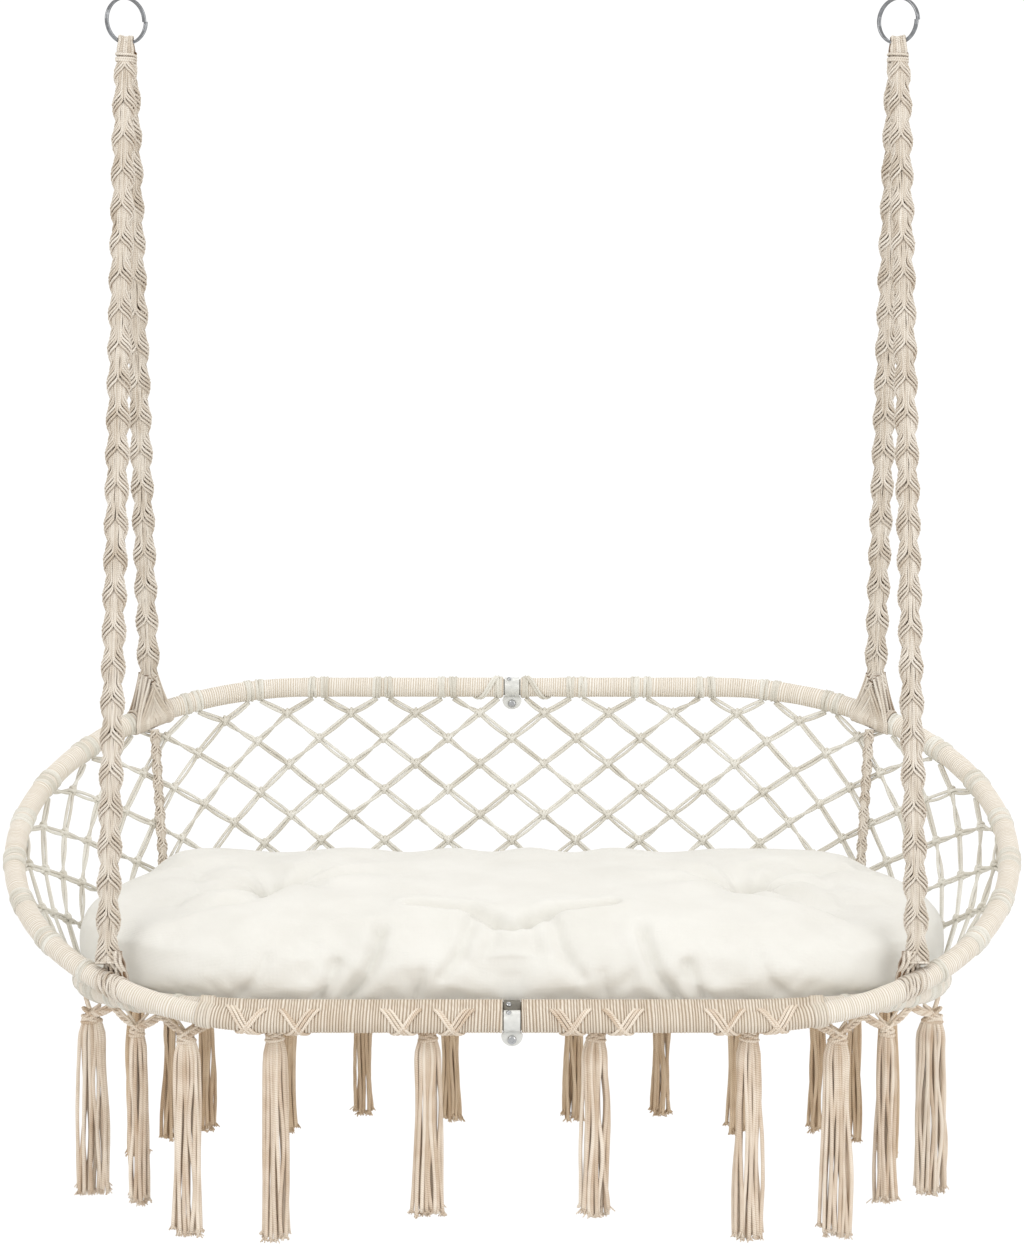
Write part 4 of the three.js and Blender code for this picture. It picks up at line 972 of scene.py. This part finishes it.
# Rear straps: narrow plaits of cotton cord, from the rear feet down to the seat hoop inside the netting.
# They are laid in the same leaf shapes as the ropes, with three cords to a leg.
STRAP_LEAF, STRAP_HALF, STRAP_DEEP, STRAP_CORD_R = 21.0, 7.2, 5.4, 1.35
STRAP_WIDEST = 10.0
STRAP_X = 465.0
for side, word in SIDES:
    mirror = np.array([side, 1, 1])
    foot = cad_feet[False]
    seat_point = hoop_line(SEAT, run_at(SEAT, STRAP_X, False))
    inwards = unit(np.array([-seat_point[0] - SEAT["straight"], SHIFT_Y - seat_point[1], 0.0]))
    way = unit(seat_point - foot)
    top = foot + way * 17.5 + inwards * 8
    bottom = seat_point + np.array([0, 0, 13.8]) + inwards * 8
    across = np.array([0.8 * side, 0.6, 0])
    chunks = leaf_plait(top * mirror, bottom * mirror, across, STRAP_LEAF, STRAP_WIDEST,
                        STRAP_HALF, STRAP_DEEP, STRAP_CORD_R, 3)
    piece(f"{word}_rear_plaited_strap", chunks, rope_cotton, "seat_frame",
          [f"{word}_rear_strap"])

# Fringe: cotton cords knotted into a scalloped edge under the hoops, and a tassel hanging from each dip.
# A tassel is a loose bundle of plied cords, cut off level and fraying at the ends.
SEAT_END = SEAT["straight"] + SEAT["bend"]
# Tassels: share of the way from the middle to the end, width, and how far below the hoop they end.
FRONT_TASSELS = ((0.965, 40, 266), (0.843, 25, 256), (0.7245, 34, 287), (0.5255, 33, 286), (0.186, 34, 256))
REAR_TASSELS = ((0.912, 24, 272), (0.836, 22, 261), (0.754, 22, 254), (0.558, 24, 265), (0.369, 22, 240),
                (0.153, 25, 247))
CLIMB_R = WINDING_R + 2.2
CLIMB_STEPS, CLIMB_AROUND = 22, 36
STRING_R, STRING_STEP = 2.4, 4.9
TUFT_HAIRS, TUFT_R = 7, 0.75
CHAIN_CORD_R, KNOT_CORD_R, CLIMB_CORD_R = 1.85, 2.1, 1.9
# Under the lashing, or under one hoop alone: how deep a dip hangs, and how far its chain reaches.
DIP_DROP = {True: 13.0, False: 19.0}
CHAIN_REACH = {True: 44.0, False: 33.0}
tassel_cotton = cotton("tassel_cotton", (244, 233, 218), (184, 155, 124), (150, 118, 86), 2.0, 0.37, 0.0,
                       0.45, 0.6)
# The rear tassels hang in shade under the seat: this darker, browner copy of the tassel cotton is painted shade.
shaded_rear_tassel_cotton = cotton("shaded_rear_tassel_cotton", (226, 205, 178), (164, 132, 98), (150, 118, 86), 2.0, 0.37,
                            0.0, 0.45, 0.6)


def under_hoop(x, front, drop):
    point = hoop_line(SEAT, run_at(SEAT, x, front))
    down, bottom = np.array([0, 0, -1.0]), WINDING_R
    if front and x <= LASHING_X:
        span = unit(hoop_line(BACK, run_at(BACK, x, True)) - point)
        down = np.cross([1.0, 0, 0], span)
        down = unit(down * -np.sign(down[2]))
        bottom = LASHING_R
    return point + down * (bottom + drop)


for side, word in SIDES:
    for front, label, table in ((True, "front", FRONT_TASSELS), (False, "rear", REAR_TASSELS)):
        tassels = [(share * SEAT_END, width, SEAT["z"] - drop) for share, width, drop in table]
        chain, knots, strings, tufts, climbs = [], [], [], [], []
        mirror = np.array([side, 1, 1])
        for i, (x, width, bottom) in enumerate(tassels):
            lashed = front and x < LASHING_X - 20
            dip = under_hoop(x, front, DIP_DROP[lashed])
            for way in (-1, 1):
                reach = CHAIN_REACH[lashed]
                if way > 0 and i > 0:
                    reach = min(reach, (tassels[i - 1][0] - x) / 2)
                if way < 0 and i < len(tassels) - 1:
                    reach = min(reach, (x - tassels[i + 1][0]) / 2)
                end_x = min(x + way * reach, SEAT_END - 2)
                high = under_hoop(end_x, front, 1.6)
                t = np.linspace(0, 1, 16)[:, None]
                middle = dip + (high - dip) * t
                middle[:, 2] -= 3.4 * np.sin(math.pi * t[:, 0])
                if not lashed:
                    for k in range(2):
                        over = under_hoop(min(x + way * reach * (0.45 + 0.35 * k), SEAT_END - 2), front, 1.0)
                        bulge = np.array([0, 5.0, 0]) * (0.5 - k) * np.sin(math.pi * t)
                        chain.append(dip + (over - dip) * t + bulge)
                for k in range(3):
                    turn = 2 * math.pi * (t * 2.2 + k / 3)
                    rising = np.array([0.3 * way, 0, 1.0])
                    chain.append(middle + 2.3 * arms(turn[:, 0], np.array([0, 1.0, 0]), rising))
                if lashed:
                    for k, (near_by, far_by) in enumerate(((14, 46), (19, 51), (24, 56), (40, 8), (44, 12))):
                        share = np.linspace(0, 1, CLIMB_STEPS)
                        near, far = x + way * near_by, max(x + way * far_by, CLAMP_GAP + 7 + 2 * k)
                        climb_r = np.full((CLIMB_STEPS, CLIMB_AROUND), CLIMB_R)
                        rings = lashing_rings(near + (far - near) * share, climb_r)
                        last = CLIMB_AROUND // 2 - 1
                        column = last - last * share**0.9
                        low_i = np.floor(column).astype(int)
                        mix = (column - low_i)[:, None]
                        rows = np.arange(CLIMB_STEPS)
                        high_i = np.minimum(low_i + 1, last)
                        climbs.append(rings[rows, low_i] * (1 - mix) + rings[rows, high_i] * mix)
            for j, lean in enumerate((0.7, -0.7, 0.35, -0.3, 0.1)):
                wide = (0.26 * width + 0.5 * j) * np.array([1.0, 0, lean])
                loop = arms(turn_angles(16), wide, 5.4 * np.array([0, 1.0, 0.2]))
                knots.append(dip + np.array([0, 0, 2.0 - 3.0 * j]) + loop)
            full = width + 6.0
            columns = int(full / STRING_STEP)
            top = dip + np.array([0, 0, -6.0])
            fall = top[2] - bottom
            for j in range(columns * 2):
                row = j // columns - 0.5
                place = (j % columns + 0.5) / columns * 2 - 1 + 0.12 * (j // columns)
                spread_x = place * (full / 2 - 2.2) + chance.normal(0, 0.9)
                spread_y = row * min(width / 2.6, 10.0) * math.sqrt(max(1.05 - place * place, 0.1))
                spread_y += chance.normal(0, 0.8)
                t = np.linspace(0, 1, 24)
                opened = 0.42 + 0.4 * np.clip(t / 0.1, 0, 1) ** 0.8 + 0.2 * t**2
                sway = chance.uniform(0.8, 3.0) * np.clip(t * 3, 0, 1)
                sway = sway * np.sin(2 * math.pi * (t * chance.uniform(0.4, 1.6) + chance.uniform(0, 1)))
                lift = chance.uniform(0, 14.0) * (0.5 + 0.5 * abs(place))
                path = np.stack([top[0] + spread_x * opened + sway, top[1] + spread_y * opened + 0.6 * sway,
                                 top[2] - t * (fall - lift - 2.0)], -1)
                strings.append(path)
                for _ in range(TUFT_HAIRS):
                    flick = np.array([chance.normal(0, 2.3), chance.normal(0, 2.0), 0])
                    w = np.linspace(0, 1, 4)[:, None]
                    fray = flick * (0.5 + w) - np.array([0, 0, 1.0]) * w * chance.uniform(4.0, 6.0)
                    tufts.append(path[-1] + np.array([0, 0, 4.0]) + fray)
        chunks = [cords(np.array(chain) * mirror, CHAIN_CORD_R, sides=7)]
        chunks.append(cords(np.array(knots) * mirror, KNOT_CORD_R, sides=8, closed=True))
        chunks.append(cords(np.array(strings) * mirror, STRING_R, sides=9, lobes=3, depth=0.08, lay=0.42))
        chunks.append(cords(np.array(tufts) * mirror, TUFT_R, sides=5))
        if climbs:
            chunks.append(cords(np.array(climbs) * mirror, CLIMB_CORD_R, sides=8))
        # The rear tassels take the darker copy, whose colour is painted shade.
        yarn = tassel_cotton if front else shaded_rear_tassel_cotton
        piece(f"{word}_{label}_tassel_fringe", chunks, yarn, "seat_frame",
              [f"{word}_{label}_fringe"])

# Saddle clamps: pressed steel straps over the tube joints, closed below by a bolt with a dome nut.
# A small screw beside the middle stops each strap from turning.
strap_steel = speckled_metal("plated_strap", (206, 207, 204), (230, 230, 226), 0.35, 0.34, 0.5, 240)
bolt_steel = speckled_metal("bright_bolt", (150, 152, 154), (205, 206, 207), 1.0, 0.14, 0.28, 300)


# Sizes of the strap, its ears and the places of its bolt and screw, in metres.
CLAMP_WALL, CLAMP_R, CLAMP_WIDTH = 0.002, 0.0123, 0.020
EAR_R, EAR_HALF, EAR_TOP, EAR_DROP, EAR_APART = 0.013, 0.0100, 0.0052, 0.017, 0.0013
BOLT_DROP = 0.022
SCREW_X, SCREW_OUT = -0.004, 0.0134


def clamp_strap(centre):
    """Strap round the tube, with two ears below it that start as discs and are squared off at the top."""
    bpy.ops.object.select_all(action="DESELECT")
    bpy.ops.mesh.primitive_cylinder_add(vertices=64, radius=CLAMP_R, depth=CLAMP_WIDTH, end_fill_type="NOTHING",
                                        location=centre, rotation=(0, math.pi / 2, 0))
    strap = bpy.context.object
    apply_modifier(strap, "SOLIDIFY", thickness=CLAMP_WALL, offset=0)
    apply_modifier(strap, "BEVEL", width=0.0004, segments=2, limit_method="ANGLE")
    parts = [strap]
    for y in (-EAR_APART, EAR_APART):
        bpy.ops.mesh.primitive_circle_add(vertices=48, radius=EAR_R, fill_type="NGON",
                                          location=(centre[0], centre[1] + y - 0.001, centre[2] - EAR_DROP),
                                          rotation=(math.pi / 2, 0, 0))
        ear = bpy.context.object
        bpy.ops.object.transform_apply(location=False, rotation=True, scale=False)
        for vertex in ear.data.vertices:
            if vertex.co.z > 0.0005:
                vertex.co.z = EAR_TOP
                vertex.co.x = max(min(vertex.co.x, EAR_HALF), -EAR_HALF)
        bpy.ops.object.mode_set(mode="EDIT")
        bpy.ops.mesh.select_all(action="SELECT")
        bpy.ops.mesh.remove_doubles(threshold=0.00005)
        bpy.ops.mesh.extrude_region_move(TRANSFORM_OT_translate={"value": (0, CLAMP_WALL, 0)})
        bpy.ops.mesh.select_all(action="SELECT")
        bpy.ops.mesh.normals_make_consistent(inside=False)
        bpy.ops.object.mode_set(mode="OBJECT")
        apply_modifier(ear, "BEVEL", width=0.0005, segments=3, limit_method="ANGLE")
        parts.append(ear)
    select_only(*parts)
    bpy.ops.object.join()
    return bpy.context.object


def button(centre, facing, radius, depth, sides, steps):
    """Bolt head, nut or screw: a short cylinder whose face is inset and raised in steps."""
    bpy.ops.object.select_all(action="DESELECT")
    turn = Vector(facing).to_track_quat("Z", "Y").to_euler()
    bpy.ops.mesh.primitive_cylinder_add(vertices=sides, radius=radius * MM, depth=depth * MM, location=centre,
                                        rotation=turn)
    obj = bpy.context.object
    for face in obj.data.polygons:
        face.select = face.normal.z > 0.9
    for vertex in obj.data.vertices:
        vertex.select = vertex.co.z > 0
    for edge in obj.data.edges:
        edge.select = all(obj.data.vertices[i].co.z > 0 for i in edge.vertices)
    bpy.ops.object.mode_set(mode="EDIT")
    bpy.ops.mesh.select_mode(type="FACE")
    for inset, rise in steps:
        bpy.ops.mesh.inset(thickness=inset * MM, depth=rise * MM)
    bpy.ops.mesh.select_mode(type="VERT")
    bpy.ops.object.mode_set(mode="OBJECT")
    return obj


# Steps of a face from its edge inward, in millimetres: how far in, and how far up.
HEAD_STEPS = ((0.25, 0.25), (0.5, 0.6), (1.0, 0.5), (0.9, 0.1), (0.15, -0.9))
NUT_STEPS = ((0.5, 0.3), (0.2, 1.6), (0.6, 1.0), (1.0, 0.7), (1.2, 0.3))
SCREW_STEPS = ((0.3, 0.4), (0.8, 0.5), (0.9, 0.2), (0.1, -0.6))
for hoop, label in HOOPS:
    whole = 2 * hoop["straight"] + math.pi * hoop["bend"]
    for place, run in (("rear", 0.0), ("front", whole)):
        x, y, z = hoop_line(hoop, run) * MM
        base = f"{label}_{place}_clamp"
        # The seat hoop's front strap takes the dark tube paint as painted shade: it lies in the cushion's shadow
        # behind the front clamp.
        finish_and_painted_shade = tube_paint if base == "seat_hoop_front_clamp" else strap_steel
        keep_piece(clamp_strap((0.0, y, z)), f"{base}_strap", finish_and_painted_shade, "seat_frame", [base])
        head = button((0.0, y - 0.0026, z - BOLT_DROP), (0, -1, 0), 5.4, 4.6, 28, HEAD_STEPS)
        keep_piece(head, f"{base}_bolt_piece", bolt_steel, "seat_frame", [f"{base}_bolt"])
        nut = button((0.0, y + 0.0052, z - BOLT_DROP), (0, 1, 0), 5.2, 4.0, 6, NUT_STEPS)
        keep_piece(nut, f"{base}_dome_nut", bolt_steel, "seat_frame", [f"{base}_nut"], smooth=50)
        tilt = hoop["tilt"] if hoop is BACK else math.pi / 4
        facing = np.array([0, -math.sin(tilt), math.cos(tilt)])
        at = np.array([SCREW_X, y, z]) + facing * SCREW_OUT
        screw = button(tuple(at), tuple(facing), 3.3, 1.6, 24, SCREW_STEPS)
        keep_piece(screw, f"{base}_pan_screw", bolt_steel, "seat_frame", [f"{base}_screw"])

# Cushion: one long pad of pale cotton canvas, stuffed full, with two sewn tufts and a drawn-in front.
# Its plan follows the seat hoop, and it rests loose on the seat netting.
HALF_LENGTH, HALF_DEPTH = 550.0, 268.0
HALF_STRAIGHT = HALF_LENGTH - HALF_DEPTH
SIDE_INSET, TOP_INSET, UNDER_INSET = 4, 37, 31
CROWN = 15
CUSHION_Y = SHIFT_Y - 12.0
BOTTOM = SEAT["z"] + 3.3
SIDE = 118.0
# In metres: grid of the canvas, how far stuffing may swell it, and how deep the tufts and front are drawn in.
CANVAS_STEP, SWELL_LIMIT = 0.007, 0.010
TUFT_DRAW, FRONT_DRAW = 0.020, 0.014
SIM_FRAMES = 20


def pad_outline(shares, straight, radius):
    """Points at these shares of the way round a plan of two straights and two half circles."""
    q, b = HALF_STRAIGHT, math.pi * HALF_DEPTH
    d = shares * (4 * q + 2 * b)
    out = np.zeros((len(d), 2))
    for i, v in enumerate(d):
        if v < q:
            out[i] = (straight * v / q, -radius)
        elif v < q + b:
            a = (v - q) / HALF_DEPTH
            out[i] = (straight + radius * math.sin(a), -radius * math.cos(a))
        elif v < 3 * q + b:
            out[i] = (straight * (1 - (v - q - b) / q), radius)
        elif v < 3 * q + 2 * b:
            a = (v - 3 * q - b) / HALF_DEPTH
            out[i] = (-straight - radius * math.sin(a), radius * math.cos(a))
        else:
            out[i] = (-straight * (1 - (v - 3 * q - 2 * b) / q), -radius)
    return out


# Side of the pad from the bottom up: inset in millimetres and share of the height.
profile = [(20, 0.0), (12, 0.05), (5, 0.13), (1.5, 0.24), (0, 0.38), (0, 0.52), (2, 0.64), (6, 0.76),
           (13, 0.87), (22, 0.955), (33, 1.0)]
steps_round = 120
rings = []
shares = np.arange(steps_round) / steps_round
for inset, level in profile:
    flat = pad_outline(shares, HALF_STRAIGHT, HALF_DEPTH - SIDE_INSET - inset)
    rings.append(np.concatenate([flat, np.full((steps_round, 1), level * SIDE)], 1))
for shrink in (0.94, 0.86, 0.77, 0.67, 0.56, 0.45, 0.34, 0.23, 0.12, 0.03):
    flat = pad_outline(shares, HALF_STRAIGHT * shrink, (HALF_DEPTH - TOP_INSET) * shrink)
    height = SIDE + CROWN * math.sin((1 - shrink**2) * math.pi / 2)
    rings.append(np.concatenate([flat, np.full((steps_round, 1), height)], 1))
rings = np.array(rings) + np.array([0, CUSHION_Y, BOTTOM])
floor_rings = []
for shrink in (0.03, 0.35, 0.7):
    flat = pad_outline(shares, HALF_STRAIGHT * shrink, (HALF_DEPTH - UNDER_INSET) * shrink)
    floor_rings.append(np.concatenate([flat, np.zeros((steps_round, 1))], 1))
rings = np.concatenate([np.array(floor_rings) + np.array([0, CUSHION_Y, BOTTOM]), rings])
verts, quads, ends, uv = skin(rings[None], 0.0, 0.0, (0.0, 0.0))
mesh = bpy.data.meshes.new("canvas_pad")
mesh.from_pydata((verts * MM).tolist(), [], quads.tolist() + ends)
pad = bpy.data.objects.new("canvas_cushion", mesh)
scene.collection.objects.link(pad)
select_only(pad)
bpy.ops.object.mode_set(mode="EDIT")
bpy.ops.mesh.select_all(action="SELECT")
bpy.ops.mesh.normals_make_consistent(inside=False)
bpy.ops.object.mode_set(mode="OBJECT")
apply_modifier(pad, "REMESH", mode="VOXEL", voxel_size=CANVAS_STEP)


def read_points(obj, kind="co"):
    values = np.empty(len(obj.data.vertices) * 3)
    obj.data.vertices.foreach_get(kind, values)
    return values.reshape(-1, 3)


def move_points(obj, points):
    obj.data.vertices.foreach_set("co", points.ravel())
    obj.data.update()


TUFTS = ((-0.300, -0.045), (0.300, -0.045))
start = read_points(pad)
top_z = (BOTTOM + SIDE) * MM
tuft_pull = np.zeros(len(start))
for tx, ty in TUFTS:
    away = np.hypot(start[:, 0] - tx, start[:, 1] - ty)
    tuft_pull = np.maximum(tuft_pull, np.exp(-(away / 0.03) ** 2) * (start[:, 2] > top_z - 0.02))
middle_z = (BOTTOM + 0.55 * SIDE) * MM
front_pull = np.exp(-(start[:, 0] / 0.055) ** 2 - ((start[:, 2] - middle_z) / 0.028) ** 2)
front_pull = front_pull * (start[:, 1] < -0.2)
pull = start.copy()
pull[:, 2] -= TUFT_DRAW * tuft_pull
pull[:, 1] += FRONT_DRAW * front_pull
move_points(pad, pull)
pinned = pad.vertex_groups.new(name="sewn")
hold = np.maximum(np.clip(tuft_pull * 1.4, 0, 1) * (tuft_pull > 0.55), front_pull > 0.7)
hold = np.maximum(hold, start[:, 2] < (BOTTOM + 2) * MM)
for i in np.nonzero(hold > 0)[0]:
    pinned.add([int(i)], float(hold[i]), "REPLACE")
cloth = pad.modifiers.new("stuffing", "CLOTH")
sewing = {"quality": 5, "mass": 0.3, "tension_stiffness": 12, "compression_stiffness": 12,
          "shear_stiffness": 6, "bending_stiffness": 0.35, "use_pressure": True,
          "uniform_pressure_force": 3.4, "vertex_group_mass": "sewn", "shrink_min": -0.03}
for setting, value in sewing.items():
    setattr(cloth.settings, setting, value)
cloth.settings.effector_weights.gravity = 0
cloth.point_cache.frame_end = SIM_FRAMES
for frame_number in range(1, SIM_FRAMES + 1):
    scene.frame_set(frame_number)
bpy.context.view_layer.objects.active = pad
bpy.ops.object.modifier_apply(modifier="stuffing")
move = read_points(pad) - pull
size = np.linalg.norm(move, axis=1, keepdims=True)
shape = pull + move * np.minimum(1, SWELL_LIMIT / np.maximum(size, 1e-9))
forward = np.clip(0.1 - shape[:, 1], 0, None) / 0.36
shape[:, 2] -= 0.034 * forward**1.6 * np.clip((shape[:, 2] - BOTTOM * MM) / (SIDE * MM), 0, 1) ** 1.5
high = np.clip((shape[:, 2] - BOTTOM * MM) / (SIDE * MM), 0, 1) ** 1.5
high = high * np.clip((shape[:, 1] + 0.08) / 0.2, 0, 1)
swell = 0.011 * np.exp(-(((np.abs(shape[:, 0]) - 0.43) / 0.085) ** 2))
swell += 0.0028 * np.sin(shape[:, 0] * 44 + 2 * np.sin(shape[:, 0] * 9))
shape[:, 2] += high * swell
shape[:, 2] = np.maximum(shape[:, 2], BOTTOM * MM)
move_points(pad, shape)
select_only(pad)
apply_modifier(pad, "SMOOTH", iterations=3, factor=0.4)
apply_modifier(pad, "SUBSURF", levels=1)


def line_valley(points, marks, width):
    """Depth share of a crease through these marks, with raised lips beside it."""
    nearest = np.full(len(points), 1e9)
    for (ax, ay), (bx, by) in zip(marks[:-1], marks[1:]):
        run = np.array([bx - ax, by - ay])
        t = np.clip(((points - [ax, ay]) @ run) / (run @ run), 0, 1)
        away = np.hypot(*(points - np.array([ax, ay]) - t[:, None] * run).T)
        nearest = np.minimum(nearest, away)
    lips = np.exp(-(((nearest - 2.4 * width) / (1.6 * width)) ** 2))
    return np.exp(-((nearest / width) ** 2)) - 0.35 * lips


place, facing = read_points(pad), read_points(pad, "normal")
top_face = np.clip(facing[:, 2] * 2.5, 0, 1)
front_face = np.clip(-facing[:, 1] * 2.0, 0, 1) * (place[:, 1] < 0)
sink = np.zeros(len(place))
for tx, ty in TUFTS:
    dx, dy = place[:, 0] - tx, place[:, 1] - ty
    away, around = np.hypot(dx, dy), np.arctan2(dy, dx)
    sink += top_face * (0.024 * np.exp(-((away / 0.017) ** 2)) + 0.006 * np.exp(-((away / 0.05) ** 2)))
    folds = np.cos(7 * around + 1.3 * np.sin(2 * around)) * (away / 0.045) * np.exp(1 - away / 0.045)
    sink += top_face * 0.0048 * folds
flat = place[:, [0, 1]]
upright = place[:, [0, 2]]
crease_y = place[:, 1].min()
# Front folds: x at the top and at the bottom, lower and upper share of the height, and depth before
# FOLD_GAIN. Lengths are in metres.
FOLD_GAIN = 1.7
FOLDS = ((0.02, 0.034, 0.5, 0.8, 0.0022), (0.05, 0.085, 0.3, 0.8, 0.0035), (0.16, 0.2, 0.05, 0.72, 0.006),
         (0.215, 0.235, 0.03, 0.42, 0.0045), (0.3, 0.33, 0.1, 0.5, 0.0025), (0.11, 0.12, 0.02, 0.34, 0.003))
for side in (-1, 1):
    marks = [(side * 0.004, crease_y + 0.046), (side * 0.05, crease_y + 0.072),
             (side * 0.125, crease_y + 0.088)]
    sink += 0.011 * np.clip(facing[:, 2] * 3, 0, 1) * line_valley(flat, marks, 0.0065)
    for x0, x1, low, high, amount in FOLDS:
        z0, z1 = (BOTTOM + SIDE * low) * MM, (BOTTOM + SIDE * high) * MM
        marks = [(side * x1, z0), (side * (0.62 * x0 + 0.38 * x1), z0 + 0.45 * (z1 - z0)), (side * x0, z1)]
        sink += FOLD_GAIN * amount * front_face * line_valley(upright, marks, 0.0075)
ripple = np.sin(place[:, 0] * 37 + 2.4 * np.sin(place[:, 2] * 55 + place[:, 1] * 19))
ripple = ripple * np.sin(place[:, 0] * 13 + 1.0)
sink += 0.0011 * ripple * (front_face + 0.7 * top_face)
place = place - facing * sink[:, None]
place[:, 2] = np.maximum(place[:, 2], BOTTOM * MM)
move_points(pad, place)
canvas = bpy.data.materials.new("pale_canvas")
canvas.use_nodes = True
tree = canvas.node_tree
canvas_shader = tree.nodes["Principled BSDF"]
for socket, value in (("Roughness", 0.88), ("Specular IOR Level", 0.2), ("Sheen Weight", 0.2)):
    canvas_shader.inputs[socket].default_value = value
spot = add_node(tree, "ShaderNodeTexCoord").outputs["Object"]
weave = 0.0
for direction in ("X", "Z", "Y"):
    threads = {"Scale": 190, "Distortion": 1.2, "Detail": 1.0, "Vector": spot}
    bands = add_node(tree, "ShaderNodeTexWave", threads, wave_type="BANDS", bands_direction=direction)
    weave = add_node(tree, "ShaderNodeMath", {0: bands.outputs["Fac"], 1: weave}, operation="ADD").outputs[0]
rumple = add_node(tree, "ShaderNodeTexNoise", {"Scale": 15, "Detail": 5, "Vector": spot}).outputs["Fac"]
tones = {"A": srgb(221, 219, 212), "B": srgb(236, 235, 230), "Factor": rumple}
canvas_tone = add_node(tree, "ShaderNodeMix", tones, data_type="RGBA")
fine = add_node(tree, "ShaderNodeBump", {"Strength": 0.22, "Distance": 0.0004, "Height": weave})
coarse = add_node(tree, "ShaderNodeBump",
                  {"Strength": 0.35, "Distance": 0.006, "Height": rumple, "Normal": fine.outputs["Normal"]})
tree.links.new(canvas_tone.outputs["Result"], canvas_shader.inputs["Base Color"])
tree.links.new(coarse.outputs["Normal"], canvas_shader.inputs["Normal"])
pad.data.materials.clear()
pad.data.materials.append(canvas)
pad.data.polygons.foreach_set("use_smooth", np.ones(len(pad.data.polygons), bool))
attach(pad, "cushion")
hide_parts("seat_cushion")
pad.select_set(False)
